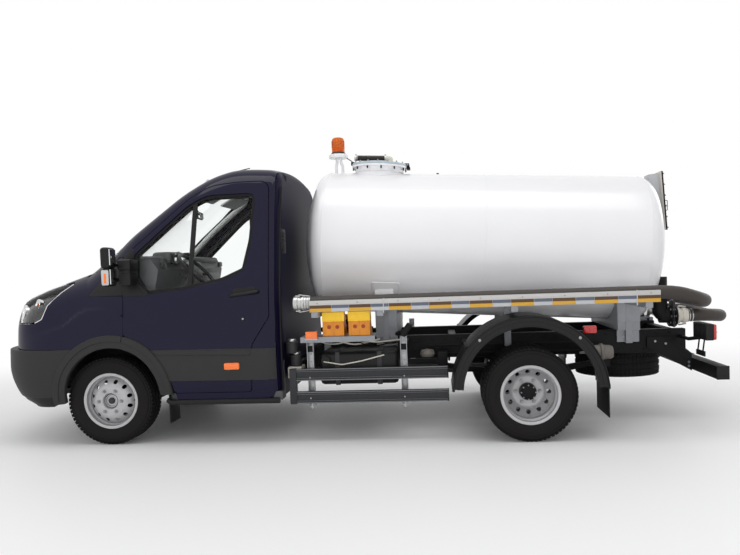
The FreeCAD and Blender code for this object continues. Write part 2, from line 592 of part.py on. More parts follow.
# name, place along the frame, lower edge, depth
CROSS = (
    ("front", "front_axle_x - 860", "front_rail_bottom + 20", "100"),
    ("middle", "cab_back_x + 420", "rail_top - 130", "100"),
    ("fore_axle", "rear_axle_x - 560", "rail_top - 130", "100"),
    ("aft_axle", "rear_axle_x + 420", "rail_top - 130", "100"),
    ("rear", "frame_end_x - 80", "rail_top - 150", "130"),
)
beams = [box(f"{word}_cross_beam", (x, "60"), (cross_start, cross_length), (z, depth))
         for word, x, z, depth in CROSS]
tow_holes = [rod(f"tow_hole_{i}", "+x", ("frame_end_x - 100", f"{across_way} * tow_bolt_across / 2",
                                         f"rail_top - 85 + {up_way} * tow_bolt_up / 2"), "tow_hole_radius",
                                         "150")
             for i, (across_way, up_way) in enumerate(((-1, -1), (1, -1), (1, 1), (-1, 1)))]
node(group("frame_rails", rails))
rear_beam = cut("rear_tow_beam", beams[-1], *tow_holes)
node(cut("cross_members", group("beam_set", [*beams[:-1], rear_beam]), *rails))

# ---------------------------------------------------------------- tank


def tank_shape(grow=0.0):
    """The tank as one turned solid: a barrel with crowned and knuckled ends, nose at its own origin."""
    radius = size("tank_radius") + grow
    knuckle = size("dish_knuckle")
    depth = size("dish_depth")
    end = size("tank_overall") + 2 * grow
    crown = ((radius - knuckle) ** 2 + depth ** 2 - knuckle ** 2) / (2 * (depth - knuckle))
    lean = math.asin((radius - knuckle) / (crown - knuckle))
    half = lean / 2
    turn = (math.pi / 2 - lean) / 2
    mid = Vector(depth - knuckle * math.cos(lean + turn), 0,
                 radius - knuckle + knuckle * math.sin(lean + turn))
    front = [Vector(0, 0, 0), Vector(crown - crown * math.cos(half), 0, crown * math.sin(half)),
             Vector(crown - crown * math.cos(lean), 0, crown * math.sin(lean)), mid, Vector(depth, 0, radius)]
    back = [Vector(end - point.x, 0, point.z) for point in reversed(front)]
    edges = [Part.Arc(*front[0:3]), Part.Arc(*front[2:5]), Part.LineSegment(front[4], back[0]),
             Part.Arc(*back[0:3]), Part.Arc(*back[2:5]), Part.LineSegment(back[4], front[0])]
    face = Part.Face(Part.Wire([edge.toShape() for edge in edges]))
    solid = face.revolve(Vector(0, 0, 0), Vector(1, 0, 0), 360)
    solid.translate(Vector(-grow, 0, 0))
    return solid


def on_tank(piece, along="0", up="0"):
    """Places a piece in the tank's own sloping frame."""
    turn = piece.Placement.Rotation
    piece.Placement = FreeCAD.Placement(Vector(),
                                        FreeCAD.Rotation(Vector(0, 1, 0), size("tank_slope")) * turn)
    slope = "tank_slope"
    x = f"tank_front_x + ({along}) * cos({slope}) + ({up}) * sin({slope})"
    z = f"tank_front_height - ({along}) * sin({slope}) + ({up}) * cos({slope})"
    piece.setExpression("Placement.Base.x", expand(x))
    piece.setExpression("Placement.Base.z", expand(z))
    return piece


barrel = doc.addObject("Part::Feature", "tank_barrel")
barrel.Shape = tank_shape()
on_tank(barrel)
manhole_room = on_tank(make("Part::Cylinder", "manhole_room", Radius="neck_radius - neck_wall", Height="600"),
                       "manhole_from_front", "tank_radius - manhole_depth")
node(cut("tank", barrel, manhole_room))
tank_room = doc.addObject("Part::Feature", "tank_room")
tank_room.Shape = tank_shape(size("fit_gap"))
on_tank(tank_room)

neck_base = "tank_radius - 40"
neck = on_tank(make("Part::Cylinder", "neck_ring", Radius="neck_radius", Height="neck_height + 40"),
               "manhole_from_front", neck_base)
neck_flange = on_tank(make("Part::Cylinder", "neck_flange", Radius="lid_radius", Height="16"),
                      "manhole_from_front", "tank_radius + neck_height - 16")
hinge_post = on_tank(make("Part::Box", "hinge_post", Length="30", Width="90", Height="24", PY="-45"),
                     "manhole_from_front + lid_radius - 4", "tank_radius + neck_height - 24")
node(cut("manhole_neck", fuse("neck_joined", [neck, neck_flange, hinge_post]), tank_room, manhole_room))
lid_floor = "tank_radius + neck_height + running_gap"
lid_plate = on_tank(make("Part::Cylinder", "lid_plate", Radius="lid_radius", Height="lid_wall"),
                    "manhole_from_front", lid_floor)
lid_dome = on_tank(make("Part::Cone", "lid_dome", Radius1="lid_radius - 50", Radius2="60", Height="14"),
                   "manhole_from_front", f"{lid_floor} + lid_wall")
lid_lug = on_tank(make("Part::Box", "lid_lug", Length="40", Width="90", Height="lid_wall", PY="-45"),
                  "manhole_from_front + lid_radius - 16", lid_floor)
node(fuse("manhole_lid", [lid_plate, lid_dome, lid_lug]))
pipe_up = f"{lid_floor} + lid_wall + 44"
air_pipe = rod("air_pipe_run", "+x", ("0", "0", "0"), "28", "330")
on_tank(air_pipe, "manhole_from_front - 225", pipe_up)
air_pipe_foot = on_tank(make("Part::Cylinder", "air_pipe_foot", Radius="28", Height="43"),
                        "manhole_from_front + 78", f"{lid_floor} + lid_wall + 1")
node(cut("lid_pipe", fuse("lid_pipe_joined", [air_pipe, air_pipe_foot]), lid_dome))

post_foot = "tank_front_height + tank_radius - 60"
posts = [rod(f"beacon_post_{i}", "+z", (f"tank_front_x + beacon_from_front + {shift}", "0", post_foot),
             "14", f"beacon_top - 175 - ({post_foot})") for i, shift in enumerate((-22, 34))]
beacon_place = ("tank_front_x + beacon_from_front", "0", "beacon_top - 180")
beacon_base = rod("beacon_base", "+z", beacon_place, "beacon_radius + 24", "36")
beacon_lens = rod("beacon_lens", "+z", beacon_place, "beacon_radius", "180")
node(cut("beacon", fuse("beacon_joined", [*posts, beacon_base, beacon_lens]), tank_room))

SIGHT_SIDE = [("tank_end_x - 200", "tank_end_height + 585"), ("tank_end_x + 4", "tank_end_height + 630"),
              ("tank_end_x + 34", "tank_end_height + 170"), ("tank_end_x - 60", "tank_end_height + 170")]
FLANGE_SIDE = [("tank_end_x - 8", "tank_end_height + 646"), ("tank_end_x + 10", "tank_end_height + 646"),
               ("tank_end_x + 42", "tank_end_height + 150"), ("tank_end_x + 24", "tank_end_height + 150")]
sight_neck = outline("sight_neck", "side", SIGHT_SIDE, "-70", "140")
sight_flange = outline("sight_flange", "side", FLANGE_SIDE, "-110", "220")
node(cut("sight_window", fuse("sight_joined", [sight_neck, sight_flange]), tank_room))

outlet_y = "-outlet_half_width"
drop = rod("outlet_drop", "+z", ("outlet_x", outlet_y, "outlet_height - 62"), "62", "330")
run = rod("outlet_run", "+x", ("outlet_x", outlet_y, "outlet_height"), "56", "85")
flanges = [rod(f"outlet_flange_{i}", "+x", (f"outlet_x + {x}", outlet_y, "outlet_height"), "88", "16")
           for i, x in enumerate((70, 104))]
valve = box("outlet_gate", ("outlet_x + 84", "22"), (f"{outlet_y} - 60", "120"),
            ("outlet_height - 90", "320"))
coupling = rod("outlet_coupling", "+x", ("outlet_x + 118", outlet_y, "outlet_height"), "64", "90")
node(cut("outlet_valve", fuse("outlet_joined", [drop, run, *flanges, valve, coupling]), tank_room))

# ---------------------------------------------------------------- tank supports, trays and hoses

cradles = [box(f"cradle_{i}", (x, "170"), ("-480", "960"), ("rail_top", "330"))
           for i, x in enumerate(("tank_front_x + 610", "tank_end_x - 455"))]
arms = []
# place of each tray arm from the tank's front
for i, x in enumerate(("tank_front_x + 182", "tank_front_x + 665", "tank_front_x + tank_overall * 0.55",
                       "tank_end_x - 395")):
    for word, side in SIDES:
        arms.append(side_box(f"{word}_tray_arm_{i}", side, (x, "50"),
                             ("(frame_half_width + 45 + tray_half_width + tray_width / 2 - tray_wall) / 2",
                              "tray_half_width + tray_width / 2 - tray_wall - frame_half_width - 45"),
                             ("tray_bottom - 50", "49")))
        arms.append(side_box(f"{word}_tray_post_{i}", side, (x, "50"), ("frame_half_width + 60", "50"),
                             ("rail_top - 60", "tray_bottom - 1 - rail_top + 60")))
        arms.append(side_box(f"{word}_tray_foot_{i}", side, (x, "50"), ("frame_half_width + 60", "50"),
                             ("rail_top - 100", "60")))
node(cut("tank_supports", fuse("supports_joined", [*cradles, *arms]), tank_room))

trays = []
for word, side in SIDES:
    mid = f"{side} * tray_half_width"
    low = "tray_width / 2"
    bottom = box(f"{word}_tray_bottom", ("tray_front_x", "tray_length"), (f"{mid} - {low}", "tray_width"),
                 ("tray_bottom", "tray_wall"))
    marker = side_box(f"{word}_marker", side, ("tray_front_x", "tray_length"),
                      (f"tray_half_width + {low} - tray_wall / 2", "tray_wall"),
                      ("tray_bottom - 9", "marker_height"))
    lip = side_box(f"{word}_tray_lip", side, ("tray_front_x", "tray_length"),
                   (f"tray_half_width - {low} + tray_wall / 2", "tray_wall"), ("tray_bottom", "50"))
    trays.append(fuse(f"{word}_tray", [bottom, marker, lip]))
node(group("hose_trays", trays))


def bent_tube(points, radius):
    """A round tube along straight runs joined by tangent arcs, each as large as its runs allow."""
    edges = []
    start = points[0]
    for before, corner, after in zip(points, points[1:], points[2:]):
        into = (corner - before).normalize()
        away = (after - corner).normalize()
        turn = into.getAngle(away)
        shorter = min((corner - before).Length, (after - corner).Length)
        reach = 0.45 * shorter
        bend = reach / math.tan(turn / 2)
        print("bend radius", round(bend), "mm")
        first = corner - into * reach
        last = corner + away * reach
        inward = (away - into).normalize()
        middle = corner + inward * (bend / math.cos(turn / 2) - bend)
        edges.append(Part.LineSegment(start, first).toShape())
        edges.append(Part.Arc(first, middle, last).toShape())
        start = last
    edges.append(Part.LineSegment(start, points[-1]).toShape())
    path = Part.Wire(edges)
    ring = Part.Wire(Part.makeCircle(radius, points[0], (points[1] - points[0]).normalize()))
    tube = path.makePipeShell([ring], True, False)
    print("tube volume over section times length",
          round(tube.Volume / (math.pi * radius ** 2 * path.Length), 4))
    return tube


def hose_points(corners):
    """A route given on the left is mirrored to the right across the centreline."""
    left = [Vector(x, -y, z) for x, y, z in corners]
    right = [Vector(x, y, z) for x, y, z in reversed(corners) if y > 0]
    return left + right


tray_y = size("tray_half_width")
tray_z = size("tray_bottom") + size("tray_wall") + size("hose_radius") + size("fit_gap")
end_x = size("tank_end_x")
# along, out from the centreline, up
TRAY_HOSE = (
    (size("tray_front_x") - 2, tray_y, tray_z), (end_x - 165, tray_y, tray_z),
    (end_x + 60, tray_y - 75, tray_z - 70), (end_x + 170, tray_y - 395, tray_z - 96),
    (end_x + 190, 0, tray_z - 100),
)
out_x = size("outlet_x") + 209
out_y = size("outlet_half_width")
out_z = size("outlet_height")
OUTLET_HOSE = (
    (out_x, out_y, out_z), (out_x + 150, out_y, out_z), (out_x + 305, out_y - 90, out_z - 16),
    (end_x + size("hose_reach") - size("hose_radius"), 0, out_z - 34),
)
for name, corners in (("tray_hose", TRAY_HOSE), ("outlet_hose", OUTLET_HOSE)):
    hose = doc.addObject("Part::Feature", name)
    hose.Shape = bent_tube(hose_points(corners), size("hose_radius"))
    node(hose)
ends = []
for word, side in SIDES:
    end_place = ("tray_front_x - 128", f"{side} * tray_half_width",
                 "tray_bottom + tray_wall + hose_radius + fit_gap")
    body = rod(f"{word}_hose_end", "+x", end_place, "56", "126")
    mouth = rod(f"{word}_hose_mouth", "+x", end_place, "coupling_bore", "coupling_depth")
    ends.append(cut(f"{word}_hose_coupling", body, mouth))
rest_x = "outlet_x + 118"
spigot = rod("spigot_body", "+x", (rest_x, "outlet_half_width", "outlet_height"), "64", "90")
spigot_arm = box("spigot_arm", (rest_x, "30"), ("outlet_half_width - 30", "60"),
                 ("rail_top", "outlet_height - rail_top - 40"))
spigot_foot = box("spigot_foot", ("outlet_x + 40", "138"), ("outlet_half_width - 30", "60"),
                  ("rail_top", "30"))
parking_spigot = fuse("parking_spigot", [spigot, spigot_arm, spigot_foot])
node(group("hose_couplings", [*ends, parking_spigot]))

# ---------------------------------------------------------------- lower body

guard_x = "cab_back_x + 55"
guard_length = "rear_axle_x - mudguard_radius - 25 - cab_back_x - 55"
guards = []
for word, side in SIDES:
    bars = [side_box(f"{word}_guard_{level}", side, (guard_x, guard_length),
                     ("guard_half_width", "guard_rail_depth"), (level, "guard_rail_height"))
            for level in ("upper_guard", "lower_guard")]
    end_plate = side_box(f"{word}_guard_end", side, (guard_x, "60"),
                         ("guard_half_width", "guard_rail_depth + 8"),
                         ("lower_guard", "upper_guard - lower_guard + guard_rail_height"))
    posts = []
    for i, x in enumerate(("tank_front_x + 118", "tank_front_x + 825")):
        post_y = ("guard_half_width - guard_rail_depth / 2 - 20", "40")
        posts.append(side_box(f"{word}_guard_post_{i}", side, (x, "50"), post_y,
                              ("260", "rail_top + 46 - 260")))
        posts.append(side_box(f"{word}_guard_stay_{i}", side, (x, "50"),
                              ("(frame_half_width + rail_width / 2 + guard_half_width - 20) / 2",
                               "guard_half_width - 20 - frame_half_width - rail_width / 2"),
                               ("rail_top - 60", "50")))
    guards.append(fuse(f"{word}_guard", [*bars, end_plate, *posts]))
node(group("side_guards", guards))

shelf_x = "tank_front_x + 75"
shelf = side_box("shelf_plate", LEFT, (shelf_x, "565"), ("guard_half_width - 120", "230"),
                 ("rail_top + 46", "12"))
shelf_lip = side_box("shelf_lip", LEFT, (shelf_x, "565"), ("guard_half_width - 8", "6"),
                     ("rail_top + 16", "42"))
node(fuse("chock_shelf", [shelf, shelf_lip]))
chocks = []
for i, x in enumerate(("tank_front_x + 244", "tank_front_x + 440")):
    chock_front = [("-guard_half_width + 22", "rail_top + 59"), ("-guard_half_width + 22", "rail_top + 244"),
                   ("-guard_half_width + 90", "rail_top + 244"), ("-guard_half_width + 215", "rail_top + 59")]
    chocks.append(outline(f"chock_{i}", "front", chock_front, x, "166"))
node(group("wheel_chocks", chocks))

node(side_box("fuel_tank", LEFT, ("tank_front_x + 205", "600"), ("frame_half_width + 292", "380"),
              ("420", "245")))
pump = [rod("pump_body", "+x", ("tank_front_x + 240", "frame_half_width + 280", "560"), "125", "340"),
        side_box("pump_foot", RIGHT, ("tank_front_x + 300", "200"), ("frame_half_width + 165", "260"),
                 ("425", "40")),
        rod("pump_ends", "+x", ("tank_front_x + 200", "frame_half_width + 280", "560"), "60", "420")]
node(fuse("vacuum_pump", pump))

muds = []
for word, side in SIDES:
    middle = "(mudguard_inner_half + mudguard_outer_half) / 2"
    width = "mudguard_outer_half - mudguard_inner_half"
    start = f"{side} * {middle} - ({width}) / 2"
    outer = rod(f"{word}_mud_outer", "+y", ("rear_axle_x", start, "axle_height + 15"), "mudguard_radius",
                width)
    inner = rod(f"{word}_mud_inner", "+y", ("rear_axle_x", f"{start} - 10", "axle_height + 15"),
                "mudguard_radius - mudguard_wall", f"{width} + 20")
    keep = box(f"{word}_mud_keep", ("rear_axle_x - 800", "1600"), ("-1300", "2600"),
               ("axle_height + 45", "800"))
    arch = common(f"{word}_mud_arch", [cut(f"{word}_mud_ring", outer, inner), keep])
    flap = side_box(f"{word}_flap", side, ("rear_axle_x + mudguard_radius - 10", "10"),
                    (middle, f"{width} - 60"),
                    ("160", "axle_height - 100"))
    stays = [side_box(f"{word}_mud_stay_{i}", side, (f"rear_axle_x + {x}", "40"),
                      ("(frame_half_width + rail_width / 2 + mudguard_inner_half + 60) / 2",
                       "mudguard_inner_half + 60 - frame_half_width - rail_width / 2"),
                       ("axle_height + 0.6 * mudguard_radius - 1", "30"))
             for i, x in enumerate(("0.8 * mudguard_radius - 18", "-0.8 * mudguard_radius - 22"))]
    muds.append(fuse(f"{word}_mudguard", [arch, flap, *stays]))
node(group("rear_mudguards", muds))

spare_x = "frame_end_x - 430"
spare_outer = rod("spare_outer", "+z", (spare_x, "0", "338"), "tyre_radius - 8", "tyre_width - 12")
spare_hole = rod("spare_hole", "+z", (spare_x, "0", "300"), "118", "300")
spare_rod = rod("spare_rod", "+z", (spare_x, "0", "345"), "16", "rail_top - 130 - 345")
spare_plate = rod("spare_plate", "+z", (spare_x, "0", "345"), "126", "14")
spare_bar = box("spare_bar", (f"{spare_x} - 30", "60"),
                ("-frame_half_width + rail_width / 2", "2 * frame_half_width - rail_width"),
                ("rail_top - 130", "50"))
node(fuse("spare_wheel", [cut("spare_tyre", spare_outer, spare_hole), spare_rod, spare_plate, spare_bar]))

beam = box("underrun_beam", ("frame_end_x + 38", "85"), ("-950", "1900"), ("412", "92"))
drops = []
for word, side in SIDES:
    drop_side = [("frame_end_x - 300", "rail_top - 60"), ("frame_end_x - 300", "rail_top - 140"),
                 ("frame_end_x + 39", "400"), ("frame_end_x + 39", "540"),
                 ("frame_end_x - 120", "rail_top - 60")]
    drops.append(outline(f"{word}_underrun_drop", "side", drop_side,
                         f"{side} * (frame_half_width + rail_width / 2 + 7) - 6", "12"))
node(fuse("underrun_bar", [beam, *drops]))
lamp_pieces = []
for word, side in SIDES:
    house = side_box(f"{word}_lamp_box", side, ("frame_end_x - 40", "62"), ("830", "260"), ("690", "122"))
    lens = side_box(f"{word}_lamp_lens", side, ("frame_end_x + 22", "16"), ("830", "250"), ("695", "112"))
    arm = side_box(f"{word}_lamp_arm", side, ("frame_end_x - 60", "30"), ("(435 + 960) / 2", "525"),
                   ("655", "36"))
    lamp_pieces.append(fuse(f"{word}_tail_lamp", [house, lens, arm]))
node(group("tail_lamps", lamp_pieces))

node(fuse("exhaust", [rod("exhaust_pipe", "+x", ("front_axle_x + 360", "220", "430"), "30", "cab_back + 800"),
                      rod("silencer", "+x", ("cab_back_x + 180", "220", "430"), "88", "480")]))

# ---------------------------------------------------------------- checks and files

doc.recompute()
for piece in doc.Objects:
    bad = [state for state in piece.State if state in ("Invalid", "Error")]
    if bad:
        raise RuntimeError(f"{piece.Name} failed: {bad}")
for piece in NODES:
    if piece.Shape.isNull() or not piece.Shape.isValid() or not piece.Shape.Solids:
        raise RuntimeError(f"{piece.Label} has no sound shape")
os.makedirs("parts", exist_ok=True)
for piece in NODES:
    piece.Shape.exportStep(f"parts/{piece.Label}.step")
    room = piece.Shape.BoundBox
    print(f"{piece.Label:20s} solids {len(piece.Shape.Solids)}  X {room.XMin:7.0f} {room.XMax:7.0f}"
          f"  Y {room.YMin:7.0f} {room.YMax:7.0f}  Z {room.ZMin:6.0f} {room.ZMax:6.0f}")
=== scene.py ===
"""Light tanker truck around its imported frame: paint, glass, rubber, steel and every small thing.

Metres. +X runs rearward, +Y to the vehicle's right, +Z up. Cab shapes are given from the front axle.
"""
import math

import bmesh
import bpy
import numpy as np
from mathutils import Matrix, Vector
from mathutils.geometry import delaunay_2d_cdt


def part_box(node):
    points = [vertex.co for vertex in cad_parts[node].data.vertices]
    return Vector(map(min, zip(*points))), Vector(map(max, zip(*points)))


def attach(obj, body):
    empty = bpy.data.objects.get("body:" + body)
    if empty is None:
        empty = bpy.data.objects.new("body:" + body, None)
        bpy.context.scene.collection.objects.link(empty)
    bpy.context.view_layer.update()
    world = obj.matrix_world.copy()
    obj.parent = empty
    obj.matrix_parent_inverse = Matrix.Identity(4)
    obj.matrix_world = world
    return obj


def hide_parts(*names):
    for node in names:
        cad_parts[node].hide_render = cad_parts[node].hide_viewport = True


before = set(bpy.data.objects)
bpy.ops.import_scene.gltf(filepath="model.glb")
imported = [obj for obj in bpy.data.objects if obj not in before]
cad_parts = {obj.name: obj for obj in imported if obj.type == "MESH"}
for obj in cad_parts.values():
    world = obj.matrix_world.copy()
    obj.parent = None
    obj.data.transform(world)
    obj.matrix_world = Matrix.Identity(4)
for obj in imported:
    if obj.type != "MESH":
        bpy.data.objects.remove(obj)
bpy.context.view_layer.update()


def centre(node):
    low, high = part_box(node)
    return (low + high) / 2


FRONT_HUB = centre("front_left_tyre")
REAR_HUB = centre("rear_left_tyres")
AXLE_X = FRONT_HUB.x
SIDES = (("left", -1), ("right", 1))


# ---------------------------------------------------------------- materials

NOISE_DETAIL = 4.0


def add_node(tree, kind, inputs=None, **settings):
    """Adds a node; an input is linked where it is given a socket and set where it is given a value."""
    made = tree.nodes.new(kind)
    for key, value in settings.items():
        setattr(made, key, value)
    for key, value in (inputs or {}).items():
        if isinstance(value, bpy.types.NodeSocket):
            tree.links.new(value, made.inputs[key])
        else:
            made.inputs[key].default_value = value
    return made


def shader(name, color, rough=0.5, metal=0.0, **sockets):
    """A material with one Principled shader; sockets are set by their names with _ for a space."""
    material = bpy.data.materials.new(name)
    material.use_nodes = True
    surface = material.node_tree.nodes["Principled BSDF"]
    surface.inputs["Base Color"].default_value = (*color, 1)
    surface.inputs["Roughness"].default_value = rough
    surface.inputs["Metallic"].default_value = metal
    for key, value in sockets.items():
        surface.inputs[key.replace("_", " ")].default_value = value
    return material


def vary(material, scale, tone, rough, bump=0.0, depth=0.001):
    """Breaks up colour, roughness and relief with noise on object coordinates; scale is features a metre."""
    tree = material.node_tree
    surface = tree.nodes["Principled BSDF"].inputs
    place = add_node(tree, "ShaderNodeTexCoord").outputs["Object"]
    noise = add_node(tree, "ShaderNodeTexNoise", {"Vector": place, "Scale": scale,
        "Detail": NOISE_DETAIL}).outputs["Fac"]
    base = surface["Base Color"].default_value[:3]
    dark, light = ([min(1, c * (1 + way * tone)) for c in base] + [1] for way in (-1, 1))
    mix = add_node(tree, "ShaderNodeMix", {0: noise, 6: dark, 7: light}, data_type="RGBA")
    tree.links.new(mix.outputs[2], surface["Base Color"])
    if rough:
        middle = surface["Roughness"].default_value
        spread = add_node(tree, "ShaderNodeMapRange", {"To Min": max(0.02, middle - rough),
            "To Max": min(1, middle + rough), "Value": noise})
        tree.links.new(spread.outputs["Result"], surface["Roughness"])
    if bump:
        relief = add_node(tree, "ShaderNodeBump", {"Strength": bump, "Distance": depth, "Height": noise})
        tree.links.new(relief.outputs["Normal"], surface["Normal"])
    return material


# name: colour, roughness, metal, noise (features a metre, tone, roughness, bump, bump depth), other sockets
# where a finish has them
FINISHES = {
    "navy_paint": ((0.0042, 0.0032, 0.02), 0.34, 0, (900, 0.35, 0.05, 0.03, 0.0002), {"Coat_Weight": 0.5,
        "Coat_Roughness": 0.05, "Specular_IOR_Level": 0.0}),
    # a darker copy of the navy paint, without its coat, for the cab's back: painted shade, with its reflections
    # dulled
    "navy_painted_shade": ((0.0036, 0.0028, 0.016), 0.5, 0, (900, 0.3, 0.05), {"Specular_IOR_Level": 0.08}),
    "white_paint": ((0.78, 0.78, 0.8), 0.3, 0, (2.5, 0.03, 0.05, 0.25, 0.004), {"Coat_Weight": 0.6,
        "Coat_Roughness": 0.12}),
    "tray_white": ((0.48, 0.47, 0.46), 0.35, 0, (30, 0.06, 0.1)),
    "black_paint": ((0.006, 0.006, 0.007), 0.45, 0, (25, 0.4, 0.15, 0.15, 0.001), {"Specular_IOR_Level": 0.15}),
    "support_grey": ((0.25, 0.26, 0.28), 0.5, 0, (20, 0.15, 0.1, 0.1, 0.001)),
    "galvanised": ((0.45, 0.46, 0.47), 0.42, 0.7, (60, 0.3, 0.12)),
    "wheel_silver": ((0.42, 0.415, 0.425), 0.34, 0.3, (45, 0.08, 0.08, 0.06, 0.0006)),
    "nut_steel": ((0.35, 0.35, 0.36), 0.35, 0.9, (200, 0.3, 0.15)),
    "tyre_rubber": ((0.01, 0.009, 0.009), 0.72, 0, (120, 0.2, 0.08, 0.12, 0.0006),
        {"Specular_IOR_Level": 0.15}),
    "dark_plastic": ((0.028, 0.027, 0.0275), 0.55, 0, (1500, 0.12, 0.06, 0.25, 0.0003),
        {"Specular_IOR_Level": 0.2}),
    "black_plastic": ((0.009, 0.009, 0.0095), 0.4, 0, (1200, 0.15, 0.06, 0.12, 0.0002),
        {"Specular_IOR_Level": 0.25}),
    "black_rubber": ((0.008, 0.008, 0.008), 0.6, 0, (300, 0.2, 0.1), {"Specular_IOR_Level": 0.2}),
    "cabin_grey": ((0.2, 0.205, 0.21), 0.6, 0, (1200, 0.1, 0.05, 0.25, 0.0003)),
    "cabin_dark": ((0.06, 0.062, 0.064), 0.6, 0, (1200, 0.1, 0.05, 0.25, 0.0003)),
    "headliner": ((0.5, 0.51, 0.5), 0.9, 0, (700, 0.12, 0.02, 0.3, 0.0005)),
    "hose_rubber": ((0.03, 0.024, 0.02), 0.55, 0, (160, 0.3, 0.12, 0.2, 0.001)),
    "cast_metal": ((0.035, 0.035, 0.037), 0.6, 0.3, (90, 0.35, 0.15, 0.4, 0.0015)),
    "alloy": ((0.55, 0.55, 0.54), 0.3, 0.9, (110, 0.15, 0.12, 0.12, 0.0006)),
    "yellow_plastic": ((0.9, 0.55, 0.02), 0.38, 0, (25, 0.12, 0.1, 0.1, 0.001)),
    "lid_blue": ((0.42, 0.5, 0.55), 0.38, 0, (30, 0.08, 0.1)),
    "marker_yellow": ((0.55, 0.3, 0.025), 0.35, 0, (900, 0.12, 0.05)),
    "marker_grey": ((0.42, 0.43, 0.45), 0.35, 0, (900, 0.12, 0.05)),
    # the next two: darker copies of the yellow and grey markers for the blocks' upper halves under the tray's
    # lip, painted shade
    "marker_yellow_painted_shade": ((0.07, 0.032, 0.012), 0.4, 0, (900, 0.15, 0.05)),
    "marker_grey_painted_shade": ((0.085, 0.1, 0.14), 0.4, 0, (900, 0.12, 0.05)),
    # a darker copy of the chock yellow for the chocks' lower parts and ribs: painted shade
    "chock_painted_shade": ((0.62, 0.22, 0.01), 0.4, 0, (30, 0.25, 0.1)),
    # dark discs that stand for the chocks' recessed holes: painted shade
    "chock_hole": ((0.3, 0.04, 0.01), 0.6, 0, (80, 0.3, 0.1)),
    "chamber_grey": ((0.16, 0.145, 0.13), 0.6, 0.2, (60, 0.35, 0.15, 0.2)),
    "guard_metal": ((0.028, 0.029, 0.032), 0.45, 0.5, (40, 0.25, 0.12)),
    "guard_edge": ((0.16, 0.165, 0.175), 0.35, 0.7, (60, 0.25, 0.1)),
    "chrome": ((0.75, 0.75, 0.76), 0.12, 1.0, (40, 0.02, 0.04)),
    "cream_plastic": ((0.6, 0.57, 0.5), 0.5, 0, (60, 0.15, 0.1)),
    "lamp_red": ((0.5, 0.012, 0.01), 0.15, 0, (300, 0.15, 0.03), {"Coat_Weight": 0.8}),
    "lamp_orange": ((0.85, 0.16, 0.01), 0.15, 0, (300, 0.15, 0.03), {"Coat_Weight": 0.8}),
    "lamp_inner": ((0.03, 0.028, 0.027), 0.3, 0.3, (60, 0.3, 0.08)),
    "seat_fabric": ((0.07, 0.075, 0.085), 0.9, 0, (900, 0.35, 0.03, 0.5, 0.0008), {"Sheen_Weight": 0.3}),
    "seat_dark": ((0.028, 0.029, 0.032), 0.85, 0, (900, 0.25, 0.03, 0.4, 0.0006), {"Sheen_Weight": 0.2}),
}
PAINT = {name: vary(shader(name, color, rough, metal, **dict(*sockets)), *noise) for name,
    (color, rough, metal, noise, *sockets) in FINISHES.items()}


def clear_material(name, color, rough=0.0, solid=0.0):
    """A clear shell: a Principled shader that lets most light through, tinted by its colour."""
    return vary(shader(name, color, rough, 0.0, Transmission_Weight=1.0 - solid, IOR=1.03,
        Specular_IOR_Level=0.5, Coat_Weight=0.3, Coat_Roughness=0.02), 6, tone=0.03, rough=0.0)


PAINT["clear_glass"] = clear_material("clear_glass", (0.95, 0.995, 0.98))
PAINT["lamp_lens"] = clear_material("lamp_lens", (0.97, 0.98, 1.0))
PAINT["amber_lens"] = clear_material("amber_lens", (0.72, 0.19, 0.035), 0.08, solid=0.35)


# ---------------------------------------------------------------- making pieces

ALONG, ACROSS, UPWARD = (1, 0, 0), (0, 1, 0), (0, 0, 1)
# degrees between faces below which an edge is shaded smooth
SMOOTH = 35.0


def piece(name, verts, faces, paint, body, smooth=SMOOTH, normals=None, slot=None):
    """A finished mesh piece at the origin that rides on a body."""
    mesh = bpy.data.meshes.new(name)
    mesh.from_pydata([tuple(map(float, v)) for v in verts], [], faces)
    mesh.update()
    thing = bpy.data.objects.new(name, mesh)
    bpy.context.scene.collection.objects.link(thing)
    if smooth:
        mesh.shade_smooth()
        mesh.set_sharp_from_angle(angle=math.radians(smooth))
    if normals is not None:
        mesh.normals_split_custom_set_from_vertices([tuple(n) for n in normals])
    if paint:
        mesh.materials.append(PAINT[paint])
    if body:
        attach(thing, body)
    return thing


